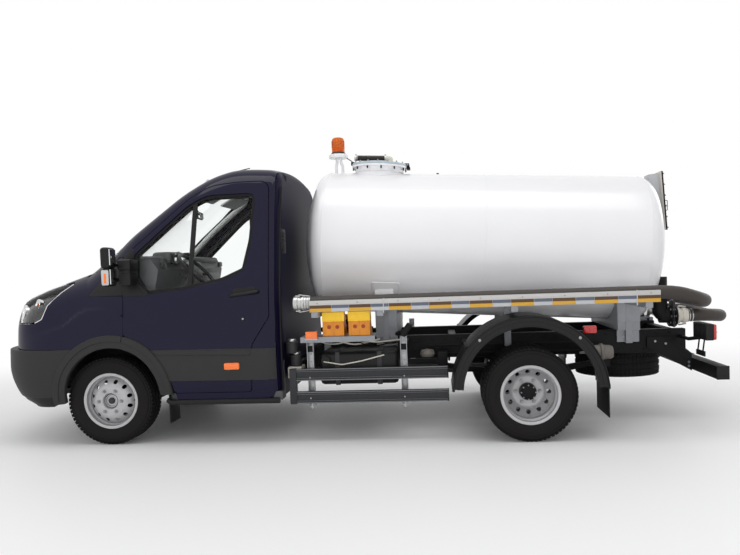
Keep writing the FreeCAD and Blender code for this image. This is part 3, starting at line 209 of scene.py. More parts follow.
class Build:
    """Collects loose parts in one mesh, each with its own finish."""

    def __init__(self):
        self.verts = []
        self.faces = []
        self.paints = []
        self.names = []

    def add(self, verts, faces, paint):
        start = len(self.verts)
        self.verts.extend(tuple(map(float, v)) for v in verts)
        self.faces.extend(tuple(i + start for i in face) for face in faces)
        if paint not in self.names:
            self.names.append(paint)
        self.paints.extend([self.names.index(paint)] * len(faces))
        return self

    def add_mesh(self, mesh, paint, matrix=None):
        matrix = matrix or Matrix.Identity(4)
        return self.add([matrix @ v.co for v in mesh.vertices], [tuple(p.vertices) for p in mesh.polygons],
            paint)

    def box(self, low, high, paint, bevel=0.002, turn=None, about=None, segments=2):
        mesh = rounded_block(low, high, bevel, segments)
        matrix = None
        if turn:
            pivot = Vector(about if about else [(a + b) / 2 for a, b in zip(low, high)])
            matrix = Matrix.Translation(pivot) @ turn @ Matrix.Translation(-pivot)
        self.add_mesh(mesh, paint, matrix)
        bpy.data.meshes.remove(mesh)
        return self

    def slab(self, side, x0, x1, y0, y1, z0, z1, paint, bevel=0.002, turn=None):
        """A box by its spans, on the left where side is -1 and on the right where it is 1."""
        low, high = sorted((side * y0, side * y1))
        return self.box((x0, low, z0), (x1, high, z1), paint, bevel, turn)

    def lathe(self, outline, place, way, paint, steps=48):
        verts, faces = turned(outline, place, way, steps)
        return self.add(verts, faces, paint)

    def rod(self, place, way, radius, length, paint, steps=24, edge=0.0015):
        edge = min(edge, radius / 3, length / 3)
        shape = [(0, 0), (0, radius - edge), (edge, radius), (length - edge, radius), (length, radius - edge),
            (length, 0)]
        return self.lathe(shape, place, way, paint, steps)

    def tube(self, points, radius, paint, steps=10, rounding=0.0):
        verts, faces = pipe(points, radius, steps, rounding)
        return self.add(verts, faces, paint)

    def finish(self, name, body="chassis", smooth=SMOOTH, slot=None, replaces=()):
        thing = piece(name, self.verts, self.faces, None, body, 0)
        mesh = thing.data
        for paint in self.names:
            mesh.materials.append(PAINT[paint])
        mesh.polygons.foreach_set("material_index", self.paints)
        work = bmesh.new()
        work.from_mesh(mesh)
        bmesh.ops.remove_doubles(work, verts=work.verts[:], dist=1e-5)
        bmesh.ops.recalc_face_normals(work, faces=work.faces[:])
        work.to_mesh(mesh)
        work.free()
        mesh.shade_smooth()
        mesh.set_sharp_from_angle(angle=math.radians(smooth))
        if replaces:
            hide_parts(*replaces)
        return thing

    def stand_for(self, node, slot, body="chassis", smooth=SMOOTH):
        """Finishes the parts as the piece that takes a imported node's place."""
        return self.finish(node + "_finished", body, smooth, slot, (node,))


def rounded_block(low, high, bevel, segments=2):
    """A block with its edges rounded."""
    mesh = bpy.data.meshes.new("block")
    work = bmesh.new()
    bmesh.ops.create_cube(work, size=1)
    low, high = Vector(low), Vector(high)
    size = high - low
    for vert in work.verts:
        vert.co = Vector((vert.co[i] + 0.5) * size[i] + low[i] for i in range(3))
    width = min(bevel, min(size) * 0.45)
    if width > 0:
        bmesh.ops.bevel(work, geom=work.edges[:], offset=width, segments=segments, affect="EDGES", profile=0.5)
    work.to_mesh(mesh)
    work.free()
    return mesh


def basis(way):
    """Two directions square to a third, right-handed."""
    way = Vector(way).normalized()
    side = way.cross(Vector((0, 0, 1)) if abs(way.z) < 0.9 else Vector((1, 0, 0))).normalized()
    return way, side, way.cross(side)


def turned(outline, place, way, steps=48):
    """A solid turned about an axis; outline is (along, radius) from place along way."""
    way, side, up = basis(way)
    place = Vector(place)
    verts, faces, rings = [], [], []
    for along, radius in outline:
        if radius < 1e-6:
            rings.append([len(verts)])
            verts.append(place + way * along)
            continue
        rings.append(list(range(len(verts), len(verts) + steps)))
        for i in range(steps):
            angle = 2 * math.pi * i / steps
            verts.append(place + way * along + (side * math.cos(angle) + up * math.sin(angle)) * radius)
    for a, b in zip(rings, rings[1:]):
        for i in range(steps):
            j = (i + 1) % steps
            if len(a) == 1 and len(b) == 1:
                break
            if len(a) == 1:
                faces.append((a[0], b[j], b[i]))
            elif len(b) == 1:
                faces.append((a[i], a[j], b[0]))
            else:
                faces.append((a[i], a[j], b[j], b[i]))
    return verts, faces


def rounded_path(points, rounding, steps=5):
    """A path whose corners are rounded by arcs of a radius."""
    points = [Vector(p) for p in points]
    if not rounding:
        return points
    path = [points[0]]
    for before, corner, after in zip(points, points[1:], points[2:]):
        into, away = (corner - before).normalized(), (after - corner).normalized()
        turn = into.angle(away, 0)
        if turn < 0.02:
            path.append(corner)
            continue
        reach = min(rounding * math.tan(turn / 2), (corner - before).length * 0.49,
            (after - corner).length * 0.49)
        a, b = corner - into * reach, corner + away * reach
        for i in range(steps + 1):
            t = i / steps
            path.append(a * (1 - t) ** 2 + corner * 2 * t * (1 - t) + b * t * t)
    path.append(points[-1])
    return path


def pipe(points, radius, steps=10, rounding=0.0):
    """A round tube along a path, its rings kept from twisting."""
    path = rounded_path(points, rounding)
    radii = radius if hasattr(radius, "__len__") else [radius] * len(path)
    verts, faces = [], []
    side = basis(path[1] - path[0])[1]
    for i, point in enumerate(path):
        ahead = path[min(i + 1, len(path) - 1)] - path[max(i - 1, 0)]
        new = ahead.normalized()
        side = (side - new * side.dot(new)).normalized()
        up = new.cross(side)
        for k in range(steps):
            angle = 2 * math.pi * k / steps
            verts.append(point + (side * math.cos(angle) + up * math.sin(angle)) * radii[i])
    for i in range(len(path) - 1):
        a = i * steps
        faces += [(a + k, a + (k + 1) % steps, a + steps + (k + 1) % steps, a + steps + k)
            for k in range(steps)]
    last = (len(path) - 1) * steps
    return verts, [*faces, tuple(reversed(range(steps))), tuple(range(last, last + steps))]


def smooth_curve(knots):
    """A smooth curve through knots that never overshoots them."""
    x, y = np.array(knots, float).T
    slope = np.diff(y) / np.diff(x)
    before, after = slope[:-1], slope[1:]
    both = before + after
    inner = np.where(before * after > 0, 2 * before * after / np.where(both == 0, 1, both), 0)
    tangent = np.concatenate([slope[:1], inner, slope[-1:]])

    def at(value):
        value = np.clip(value, x[0], x[-1])
        i = np.clip(np.searchsorted(x, value) - 1, 0, len(x) - 2)
        width = x[i + 1] - x[i]
        t = (value - x[i]) / width
        return ((1 + 2 * t) * (1 - t) ** 2 * y[i] + t * (1 - t) ** 2 * width * tangent[i] + t * t * (3 - 2 * t)
            * y[i + 1] + t * t * (t - 1) * width * tangent[i + 1])
    return at


def softened(node, paint, width, body="chassis"):
    """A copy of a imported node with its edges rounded, which stands for it."""
    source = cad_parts[node].data
    work = bmesh.new()
    work.from_mesh(source)
    bmesh.ops.remove_doubles(work, verts=work.verts[:], dist=1e-5)
    bmesh.ops.dissolve_limit(work, angle_limit=math.radians(1.5), verts=work.verts[:], edges=work.edges[:])
    edges = [e for e in work.edges if len(e.link_faces) == 2 and e.calc_face_angle(0) > math.radians(30)]
    bmesh.ops.bevel(work, geom=edges, offset=width, segments=2, affect="EDGES", profile=0.5, clamp_overlap=True)
    mesh = bpy.data.meshes.new(node + "_finished")
    work.to_mesh(mesh)
    work.free()
    mesh.shade_smooth()
    mesh.set_sharp_from_angle(angle=math.radians(40))
    mesh.materials.append(PAINT[paint])
    thing = bpy.data.objects.new(node + "_finished", mesh)
    bpy.context.scene.collection.objects.link(thing)
    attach(thing, body)
    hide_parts(node)
    return thing


def repeat_tree():
    """Geometry Nodes: copies the item along a step, round an axis, with a little seeded scatter."""
    tree = bpy.data.node_groups.new("repeat_item", "GeometryNodeTree")
    for name, kind in (
            ("Item", "Geometry"),
            ("Count", "Int"),
            ("Step", "Vector"),
            ("Turn", "Float"),
            ("Centre", "Vector"),
            ("Axis", "Vector"),
            ("Scatter", "Float"),
            ("Seed", "Int"),
            ("Finish", "Material")):
        tree.interface.new_socket(name, in_out="INPUT", socket_type="NodeSocket" + kind)
    tree.interface.new_socket("Copies", in_out="OUTPUT", socket_type="NodeSocketGeometry")

    def result(kind, inputs=None, **settings):
        return add_node(tree, kind, inputs, **settings).outputs[0]

    def vectors(operation, *inputs):
        return result("ShaderNodeVectorMath", dict(zip((0, "Scale" if operation == "SCALE" else 1), inputs)),
            operation=operation)

    given = add_node(tree, "NodeGroupInput").outputs
    index = result("GeometryNodeInputIndex")
    angle = result("ShaderNodeMath", {0: index, 1: given["Turn"]}, operation="MULTIPLY")
    from_centre = vectors("SUBTRACT", result("ShaderNodeCombineXYZ"), given["Centre"])
    swing = result("ShaderNodeVectorRotate", {"Vector": from_centre, "Axis": given["Axis"], "Angle": angle},
        rotation_type="AXIS_ANGLE")
    jitter = result("FunctionNodeRandomValue", {"Min": (-1, -1, -1), "Seed": given["Seed"]},
        data_type="FLOAT_VECTOR")
    shift = vectors("ADD", vectors("SCALE", given["Step"], index), vectors("SCALE", jitter, given["Scatter"]))
    moved = vectors("ADD", vectors("ADD", swing, given["Centre"]), shift)
    points = result("GeometryNodePoints", {"Count": given["Count"], "Position": moved})
    turn = result("FunctionNodeAxisAngleToRotation", {"Axis": given["Axis"], "Angle": angle})
    copies = result("GeometryNodeInstanceOnPoints", {"Points": points, "Instance": given["Item"],
        "Rotation": turn})
    real = result("GeometryNodeRealizeInstances", {0: copies})
    finish = result("GeometryNodeSetMaterial", {"Geometry": real, "Material": given["Finish"]})
    add_node(tree, "NodeGroupOutput", {0: finish})
    return tree


REPEAT = repeat_tree()


def repeated(build, item, paint, count, step=(0, 0, 0), turn=0.0, centre=(0, 0, 0), axis=ACROSS, scatter=0.0,
        seed=7):
    """Adds baked copies of an item, itself a Build, to a build; turn is in degrees."""
    mesh = bpy.data.meshes.new("item")
    mesh.from_pydata(item.verts, [], item.faces)
    thing = bpy.data.objects.new("item", mesh)
    bpy.context.scene.collection.objects.link(thing)
    modifier = thing.modifiers.new("repeat", "NODES")
    modifier.node_group = REPEAT
    values = {"Count": count, "Step": tuple(step), "Turn": math.radians(turn), "Centre": tuple(centre),
        "Axis": tuple(axis), "Scatter": scatter, "Seed": seed, "Finish": PAINT[paint]}
    for item in REPEAT.interface.items_tree:
        if item.name in values:
            modifier[item.identifier] = values[item.name]
    bpy.context.view_layer.update()
    baked = bpy.data.meshes.new_from_object(thing.evaluated_get(bpy.context.evaluated_depsgraph_get()))
    build.add_mesh(baked, paint)
    bpy.data.objects.remove(thing)
    bpy.data.meshes.remove(mesh)
    bpy.data.meshes.remove(baked)


def ring_of(build, item, paint, count, centre, axis):
    """Adds copies of an item spaced evenly round an axis."""
    repeated(build, item, paint, count, turn=360 / count, centre=centre, axis=axis)


# ---------------------------------------------------------------- cab: its outer form

CAB_BACK = 1.36
side_in_cabin = smooth_curve([(0.25, 0.965), (0.33, 0.985), (0.45, 1.012), (0.6, 1.022), (0.75, 1.02),
    (1.0, 1.013), (1.15, 1.0), (1.35, 0.966), (1.6, 0.917), (1.9, 0.85), (2.05, 0.8), (2.3, 0.7)])
side_in_nose = smooth_curve([(0.2, 0.97), (0.28, 0.985), (0.45, 1.012), (0.6, 1.022), (0.75, 1.02),
    (0.9, 1.008), (1.0, 0.985), (1.1, 0.94), (1.2, 0.875), (1.39, 0.7), (1.6, 0.5)])
nose_face = smooth_curve([(0.2, -0.93), (0.28, -0.985), (0.43, -1.03), (0.69, -1.03), (0.9, -1.005),
    (1.05, -0.95), (1.2, -0.85), (1.4, -0.66)])
# how far the lower bumper sweeps back, by height
bumper_sweep = smooth_curve([(0.2, 0.3), (0.28, 0.27), (0.34, 0.15), (0.4, 0.085), (0.46, 0.05), (0.52, 0.025),
    (0.6, 0.01), (0.742, 0.015)])
bonnet_top = smooth_curve([(-1.1, 0.96), (-1.0, 1.035), (-0.9, 1.1), (-0.78, 1.165), (-0.45, 1.29),
    (-0.11, 1.395), (0.2, 1.47)])
roof_top = smooth_curve([(0.2, 1.97), (0.65, 2.075), (0.82, 2.12), (1.06, 2.15), (1.25, 2.14), (1.36, 2.11),
    (1.5, 2.07)])
# the crease that runs over the wheel arch and along the lower door
arch_crease = smooth_curve([(-0.8, 0.8), (-0.349, 0.905), (-0.223, 0.995), (-0.141, 1.03), (-0.045, 1.04),
    (0.057, 1.02), (0.173, 0.963), (0.263, 0.876), (0.359, 0.78), (0.45, 0.745), (0.901, 0.74), (1.4, 0.74)])
SCREEN_SLOPE = 0.755
SCREEN_HEIGHT = 1.55
SCREEN_BOW = 0.16
SCREEN_SHARE = 0.798
ROOF_BOW = 0.1
BONNET_SHARE = 0.94
ROUNDING = 0.14
ROOF_ROUNDING = 0.12
FRONT_ROUNDING = 0.1
BACK_ROUNDING = 0.05
CREASE_DEPTH = 0.016
WAIST_HEIGHT = 1.06
WAIST_WIDTH = 0.055
WAIST_DEPTH = 0.007
NOSE_START = -0.34
NOSE_LONG = 0.7
# the lamps and grille stand this far behind the bumper's face
BUMPER_SHELF = 0.085
# how far rays are followed to the skin, and how often that reach is halved
CAB_REACH = 2.4
HALVINGS = 34
# degrees through which a panel's edge is turned in
EDGE_TURNS = (30, 60, 90)


def ramp(value, low, high):
    t = np.clip((value - low) / (high - low), 0, 1)
    return t * t * (3 - 2 * t)


def rounded_max(a, b, width):
    gap = np.clip(width - np.abs(a - b), 0, None)
    return np.maximum(a, b) + gap * gap / (4 * width)


def body_field(p, inset=0.0):
    """How far points lie outside the cab's skin, drawn in by an inset; p is (n, 3) from the axle."""
    along, across, up = p[:, 0], np.abs(p[:, 1]), p[:, 2]
    set_back = bumper_sweep(up) + BUMPER_SHELF * ramp(up, 0.748, 0.757) * (1 - ramp(up, 1.02, 1.25))
    to_front = np.clip((NOSE_START - along) / (NOSE_LONG - set_back), 0, 0.9999)
    plan = (1 - to_front ** 3) ** (1 / 3)
    blend = ramp(along, -0.45, 0.25)
    half = side_in_nose(up) * (1 - blend) + side_in_cabin(up) * blend
    above = up - arch_crease(along)
    fade = ramp(along, -0.7, -0.4)
    half = half - CREASE_DEPTH * ramp(above, 0.0, 0.045) * (1 - ramp(above, 0.045, 0.34)) * fade
    waist = (up - WAIST_HEIGHT) / WAIST_WIDTH
    half = half - WAIST_DEPTH * np.exp(-waist ** 2) * ramp(along, 0.3, 0.6) * (1 - ramp(along, 1.05, 1.3))
    side = across - half * plan
    bow = across * across
    front = nose_face(up) + set_back + 0.02 * bow - along
    screen = (up - SCREEN_HEIGHT - SCREEN_SLOPE * (along - SCREEN_BOW * bow)) * SCREEN_SHARE
    roof = up - roof_top(along) + ROOF_BOW * bow
    bonnet = (up - bonnet_top(along) + ROOF_BOW * bow * across) * BONNET_SHARE
    top = np.minimum(bonnet, rounded_max(screen, roof, ROOF_ROUNDING))
    back = along - CAB_BACK
    shape = rounded_max(top, back, BACK_ROUNDING)
    shape = rounded_max(shape, front, FRONT_ROUNDING)
    return rounded_max(shape, side, ROUNDING) + inset


def march(start, way, reach, inset=0.0):
    """Where rays from inside the cab cross its skin; start and way are (n, 3)."""
    low = np.zeros(len(start))
    high = np.full(len(start), float(reach))
    for _ in range(HALVINGS):
        middle = (low + high) / 2
        inside = body_field(start + way * middle[:, None], inset) < 0
        low = np.where(inside, middle, low)
        high = np.where(inside, high, middle)
    return start + way * high[:, None]


def normals_at(p, inset=0.0):
    step = 0.002
    slopes = [body_field(p + step * axis, inset) - body_field(p - step * axis, inset) for axis in np.eye(3)]
    n = np.stack(slopes, 1)
    return n / np.maximum(np.linalg.norm(n, axis=1), 1e-9)[:, None]


def on_side(points, inset=0.0, out=-1):
    """Skin points of a side-view outline on the left, or on the right where out is 1."""
    p = np.array(points, float)
    start = np.stack([p[:, 0], np.zeros(len(p)), p[:, 1]], 1)
    return march(start, np.tile([0.0, out, 0.0], (len(p), 1)), 1.3, inset)


def on_top(points, inset=0.0):
    """Skin points of a plan-view outline."""
    p = np.array(points, float)
    start = np.stack([p[:, 0], p[:, 1], np.full(len(p), 0.7)], 1)
    return march(start, np.tile([0.0, 0.0, 1.0], (len(p), 1)), 1.8, inset)


def on_front(points, inset=0.0):
    """Skin points of a front-view outline."""
    p = np.array(points, float)
    start = np.stack([np.full(len(p), 0.75), p[:, 0], p[:, 1]], 1)
    return march(start, np.tile([-1.0, 0.0, 0.0], (len(p), 1)), 2.2, inset)


def behind_shelf(points):
    """Plan-view points of the nose drawn back by the bumper's shelf."""
    share = (NOSE_LONG - BUMPER_SHELF) / NOSE_LONG
    return [(NOSE_START + (u - NOSE_START) * share if u < NOSE_START else u, y) for u, y in points]


SPINE_Z = 1.0
TURN_POST = -0.25


def fan_side(p):
    """Unrolls points about the cab's long axis, from the left sill over the roof to the right one."""
    angle = np.arctan2(p[:, 2] - SPINE_Z, -p[:, 1])
    return np.stack([p[:, 0], np.where(angle < -math.pi / 2, angle + 2 * math.pi, angle)], 1)


def fan_side_rays(q):
    start = np.stack([q[:, 0], np.zeros(len(q)), np.full(len(q), SPINE_Z)], 1)
    return start, np.stack([np.zeros(len(q)), -np.cos(q[:, 1]), np.sin(q[:, 1])], 1)


def fan_front(p):
    """Unrolls points about an upright post in the nose."""
    return np.stack([np.arctan2(p[:, 1], TURN_POST - p[:, 0]), p[:, 2]], 1)


def fan_front_rays(q):
    start = np.stack([np.full(len(q), TURN_POST), np.zeros(len(q)), q[:, 1]], 1)
    return start, np.stack([-np.cos(q[:, 0]), np.sin(q[:, 0]), np.zeros(len(q))], 1)


def flat_rays(way):
    """Unrolls onto a plane square to a direction."""
    way = np.array(way, float) / np.linalg.norm(way)
    side = np.cross(way, [0, 0, 1.0] if abs(way[2]) < 0.9 else [1.0, 0, 0])
    side /= np.linalg.norm(side)
    up = np.cross(side, way)
    origin = np.array([0.55, 0, 1.0]) if abs(way[0]) > 0.5 else np.array([0, 0, 1.0])

    def unroll(p):
        return np.stack([(p - origin) @ side, (p - origin) @ up], 1)

    def rays(q):
        start = origin + q[:, :1] * side + q[:, 1:] * up
        return start, np.tile(way, (len(q), 1))
    return unroll, rays


FAN_SIDE = (fan_side, fan_side_rays)
FAN_FRONT = (fan_front, fan_front_rays)


def inside_loop(points, loop):
    """Which 2D points lie in a closed loop."""
    x, y = points[:, 0], points[:, 1]
    found = np.zeros(len(points), bool)
    for (ax, ay), (bx, by) in zip(loop, np.roll(loop, -1, 0)):
        if ay == by:
            continue
        crosses = (ay > y) != (by > y)
        found ^= crosses & (x < (bx - ax) * (y - ay) / (by - ay) + ax)
    return found


def between_loops(points, loops):
    """Which 2D points lie in the first loop and in none of the others."""
    inside, *in_holes = (inside_loop(points, loop) for loop in loops)
    return inside & ~np.any(in_holes, 0) if in_holes else inside


def filled(loops, points):
    """Vertices and triangles that fill the first 2D loop round the others, using the points given."""
    edges, at = [], 0
    for loop in loops:
        edges += [(at + i, at + (i + 1) % len(loop)) for i in range(len(loop))]
        at += len(loop)
    made = delaunay_2d_cdt([Vector(p) for p in np.concatenate([*loops, points])], edges, [], 0, 1e-7)
    verts, tris = np.array([tuple(v) for v in made[0]]), np.array(made[2])
    return verts, tris[between_loops(verts[tris].mean(1), loops)]


def resample(loop, step):
    """Even points along a closed 3D loop, keeping its corners."""
    out = []
    for a, b in zip(loop, np.roll(loop, -1, 0)):
        count = max(1, int(round(np.linalg.norm(b - a) / step)))
        out.extend(a + (b - a) * i / count for i in range(count))
    return np.array(out)


def rounded_loop(corners, radius, steps=5):
    """A closed outline with its corners rounded; a corner may carry its own radius."""
    points = [np.array(c[:2], float) for c in corners]
    radii = [c[2] if len(c) > 2 else radius for c in corners]
    out = []
    for i, corner in enumerate(points):
        before, after = points[i - 1], points[(i + 1) % len(points)]
        into, away = corner - before, after - corner
        long_in, long_out = np.linalg.norm(into), np.linalg.norm(away)
        into, away = into / long_in, away / long_out
        turn = math.acos(max(-1, min(1, float(into @ away))))
        reach = min(radii[i] * math.tan(turn / 2), long_in * 0.48, long_out * 0.48)
        if turn < 0.03 or reach < 1e-4:
            out.append(corner)
            continue
        a, b = corner - into * reach, corner + away * reach
        for k in range(steps + 1):
            t = k / steps
            out.append(a * (1 - t) ** 2 + corner * 2 * t * (1 - t) + b * t * t)
    return np.array(out)


def panel(name, loops, unrolled, body, paint, inset=0.0, depth=0.03, rim=0.004, step=0.03, slot=None, side=-1):
    """A piece of the cab's skin inside 3D loops, the first outer and the rest holes, its edges turned in."""
    unroll, rays = unrolled
    loops = [resample(np.array(loop), step * 0.7) for loop in loops]
    flat = [unroll(loop) for loop in loops]
    everything = np.concatenate(flat)
    low, high = everything.min(0), everything.max(0)
    grid_x = np.arange(low[0] + step / 2, high[0], step)
    grid_y = np.arange(low[1] + step / 2, high[1], step)
    shift = (np.arange(len(grid_y)) % 2) * step / 2
    grid = np.array([(gx + s, gy) for gy, s in zip(grid_y, shift) for gx in grid_x]).reshape(-1, 2)
    grid = grid[between_loops(grid, flat)]
    for loop in flat:
        far = np.ones(len(grid), bool)
        for chunk in np.array_split(np.arange(len(grid)), max(1, len(grid) // 2000)):
            d = np.linalg.norm(grid[chunk][:, None] - loop[None], axis=2).min(1)
            far[chunk] = d > step * 0.45
        grid = grid[far]
    flat_verts, tris = filled(flat, grid)
    start, way = rays(flat_verts)
    verts = march(start, way, CAB_REACH, inset)
    normals = normals_at(verts, inset)
    a, b, c = verts[tris[:, 0]], verts[tris[:, 1]], verts[tris[:, 2]]
    turned_in = np.einsum("ij,ij->i", np.cross(b - a, c - a), normals[tris[:, 0]]) < 0
    tris[turned_in] = tris[turned_in][:, ::-1]
    faces = [tuple(t) for t in tris]
    verts, normals = list(verts), list(normals)
    halves = dict.fromkeys((face[i], face[(i + 1) % 3]) for face in faces for i in range(3))
    border = {a: b for a, b in halves if (b, a) not in halves}
    while border:
        first = next(iter(border))
        ring = [first]
        while border.get(ring[-1]) is not None:
            following = border.pop(ring[-1])
            if following == first:
                break
            ring.append(following)
        else:
            continue
        loop = np.array([verts[i] for i in ring])
        around = np.roll(loop, -1, 0) - np.roll(loop, 1, 0)
        around /= np.maximum(np.linalg.norm(around, axis=1), 1e-9)[:, None]
        n = np.array([normals[i] for i in ring])
        out = np.cross(around, n)
        out /= np.maximum(np.linalg.norm(out, axis=1), 1e-9)[:, None]
        last = ring
        turns = [(math.radians(t), 0.0) for t in EDGE_TURNS] + [(math.pi / 2, depth)]
        for turn, deeper in turns:
            base = len(verts)
            moved = loop + out * rim * math.sin(turn) - n * (rim * (1 - math.cos(turn)) + deeper)
            verts.extend(moved)
            normals.extend(n * math.cos(turn) + out * math.sin(turn))
            fresh = list(range(base, base + len(ring)))
            for i in range(len(ring)):
                j = (i + 1) % len(ring)
                faces.append((last[i], fresh[i], fresh[j], last[j]))
            last = fresh
    verts, normals = np.array(verts), np.array(normals)
    verts = verts + np.array([AXLE_X, 0, 0])
    if side > 0:
        verts = verts * [1, -1, 1]
        normals = normals * [1, -1, 1]
        faces = [tuple(reversed(f)) for f in faces]
    return piece(name, verts, faces, paint, body, 0, normals, slot)


# ---------------------------------------------------------------- cab: panels

# side view, from the front axle: place, height and corner radius
DOOR_EDGE = [(0.157, 0.852), (0.157, 1.44, 0.1), (0.68, 1.893, 0.6), (0.84, 1.972, 0.3), (1.05, 1.989, 0.6),
    (1.284, 1.989, 0.075), (1.284, 0.965, 0.06), (1.149, 0.765, 0.1), (1.129, 0.402, 0.03),
    (0.543, 0.402, 0.03), (0.503, 0.522, 0.3), (0.433, 0.659, 0.3), (0.302, 0.785, 0.3)]
WINDOW_EDGE = [(0.238, 1.3, 0.06), (0.238, 1.462, 0.07), (0.655, 1.832, 0.5), (0.8, 1.905, 0.3),
    (1.192, 1.907, 0.07), (1.163, 1.54, 0.5), (1.108, 1.312, 0.05), (0.93, 1.235, 0.4), (0.6, 1.175, 0.6),
    (0.33, 1.155, 0.08)]
ARCH_MID = (0.045, 0.38)
ARCH_OUT = 0.47
ARCH_IN = 0.386
GAP = 0.009


def side_panel(side, name, outlines, body, paint, inset=0.0, step=0.025, depth=0.012, rim=0.004, slot=None):
    """A panel inside side-view outlines, set in from the skin by one depth."""
    loops = [on_side(outline, inset) for outline in outlines]
    return panel(name, loops, FAN_SIDE, body, paint, inset, depth, rim, step, slot, side)


def grown(outline, by):
    """A closed outline moved outwards by a distance."""
    loop = np.array(outline, float)
    ahead = np.roll(loop, -1, 0) - np.roll(loop, 1, 0)
    ahead /= np.maximum(np.linalg.norm(ahead, axis=1), 1e-9)[:, None]
    area = np.sum(loop[:, 0] * np.roll(loop[:, 1], -1) - np.roll(loop[:, 0], -1) * loop[:, 1])
    out = np.stack([ahead[:, 1], -ahead[:, 0]], 1) * (1 if area > 0 else -1)
    return loop + out * by


def arc_points(radius, first, last, count=24):
    """Side-view points round the wheel arch's middle, by degrees up from the rear."""
    return [(ARCH_MID[0] + radius * math.cos(math.radians(a)), ARCH_MID[1] + radius * math.sin(math.radians(a)))
        for a in np.linspace(first, last, count)]


def both_sides(*makers):
    """Lets each maker make its things on the left, then on the right."""
    for make in makers:
        for word, side in SIDES:
            make(side, word)


DOOR_LOOP = rounded_loop(DOOR_EDGE, 0.02)
WINDOW_LOOP = rounded_loop(WINDOW_EDGE, 0.02)
DOOR_BODY = {-1: "left_door", 1: "right_door"}


def door(side, word):
    body = DOOR_BODY[side]
    skin = side_panel(side, f"{word}_door_skin", [DOOR_LOOP, WINDOW_LOOP], body, "navy_paint", 0.0, step=0.024,
        depth=0.03, rim=0.005, slot="navy_paint")
    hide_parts(f"{word}_door")
    side_panel(side, f"{word}_door_trim", [grown(DOOR_LOOP, -0.012), WINDOW_LOOP], body, "cabin_dark", 0.06,
        step=0.05)
    side_panel(side, f"{word}_window_seal", [grown(WINDOW_LOOP, -0.001), grown(WINDOW_LOOP, -0.024)], body,
        "black_rubber", 0.01, step=0.02, depth=0.045)
    glass = side_panel(side, f"{word}_door_pane", [grown(WINDOW_LOOP, -0.018)], body, "clear_glass", 0.016,
        step=0.05, depth=0.0, rim=0.0005, slot="clear_glass")
    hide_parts(f"{word}_door_glass")
    bar = [(0.7, 1.853), (0.73, 1.87), (0.695, 1.188), (0.665, 1.182)]
    side_panel(side, f"{word}_quarter_bar", [bar], body, "black_plastic", 0.011, step=0.03, rim=0.003)
    low = [(0.157, 1.15, 0.0), (0.157, 1.452, 0.05), (0.24, 1.525, 0.02), (0.24, 1.27, 0.08),
        (0.38, 1.15, 0.02)]
    side_panel(side, f"{word}_mirror_plate", [rounded_loop(low, 0.01)], body, "black_plastic", -0.004)
    clad = [*arc_points(ARCH_OUT + 0.012, 14.5, 46.3), (1.143, 0.723), (1.131, 0.497)]
    side_panel(side, f"{word}_door_cladding", [clad], body, "dark_plastic", -0.01, depth=0.016, rim=0.007)
    step_up = [*arc_points(ARCH_OUT + 0.018, 41.5, 44.8), (1.135, 0.712), (1.134, 0.686)]
    side_panel(side, f"{word}_cladding_chamfer", [step_up], body, "dark_plastic", -0.017, step=0.02,
        depth=0.008, rim=0.006)


def shell_loop():
    """The outer edge of roof, pillars, rear side panels and sills as one 3D loop from the left sill round."""
    rear = CAB_BACK - 0.035
    opening = grown(DOOR_LOOP, GAP)
    count = len(opening)
    spot = int(np.argmin(np.hypot(*(opening - (0.545, 0.396)).T)))
    last = int(np.argmin(np.hypot(*(opening - (0.151, 1.452)).T)))
    along_door = []
    while spot != last:
        along_door.append(tuple(opening[spot]))
        spot = (spot - 1) % count
    left_front = [(0.552, 0.345), *along_door, tuple(opening[last]), (0.105, 1.452), (0.062, 1.408)]
    left = np.concatenate([on_side(left_front), on_front(SCREEN_LEFT)])
    top = on_front([(y, 2.068) for y in np.linspace(-0.35, 0.35, 9)])
    right = left[::-1] * [1, -1, 1]
    back_left = on_side([(rear, z) for z in np.linspace(0.345, 1.9, 12)])
    turn = math.atan2(back_left[-1][2] - SPINE_Z, -back_left[-1][1])
    angles = np.linspace(turn, math.pi - turn, 24)[1:-1]
    start = np.tile([rear, 0.0, SPINE_Z], (len(angles), 1))
    over = march(start, np.stack([0 * angles, -np.cos(angles), np.sin(angles)], 1), 1.6)
    edge = np.concatenate([back_left * [1, -1, 1], over[::-1], back_left[::-1]])
    return np.concatenate([left, top, right, edge]), edge


# front view of the windscreen's left edge: across and height
SCREEN_LEFT = [(-0.862, 1.432), (-0.845, 1.5), (-0.8, 1.64), (-0.752, 1.82), (-0.705, 1.95), (-0.64, 2.035),
    (-0.5, 2.06)]
SCREEN_LOW = [(0.52, 1.378), (0.3, 1.371), (0.0, 1.368), (-0.3, 1.371), (-0.52, 1.378)]


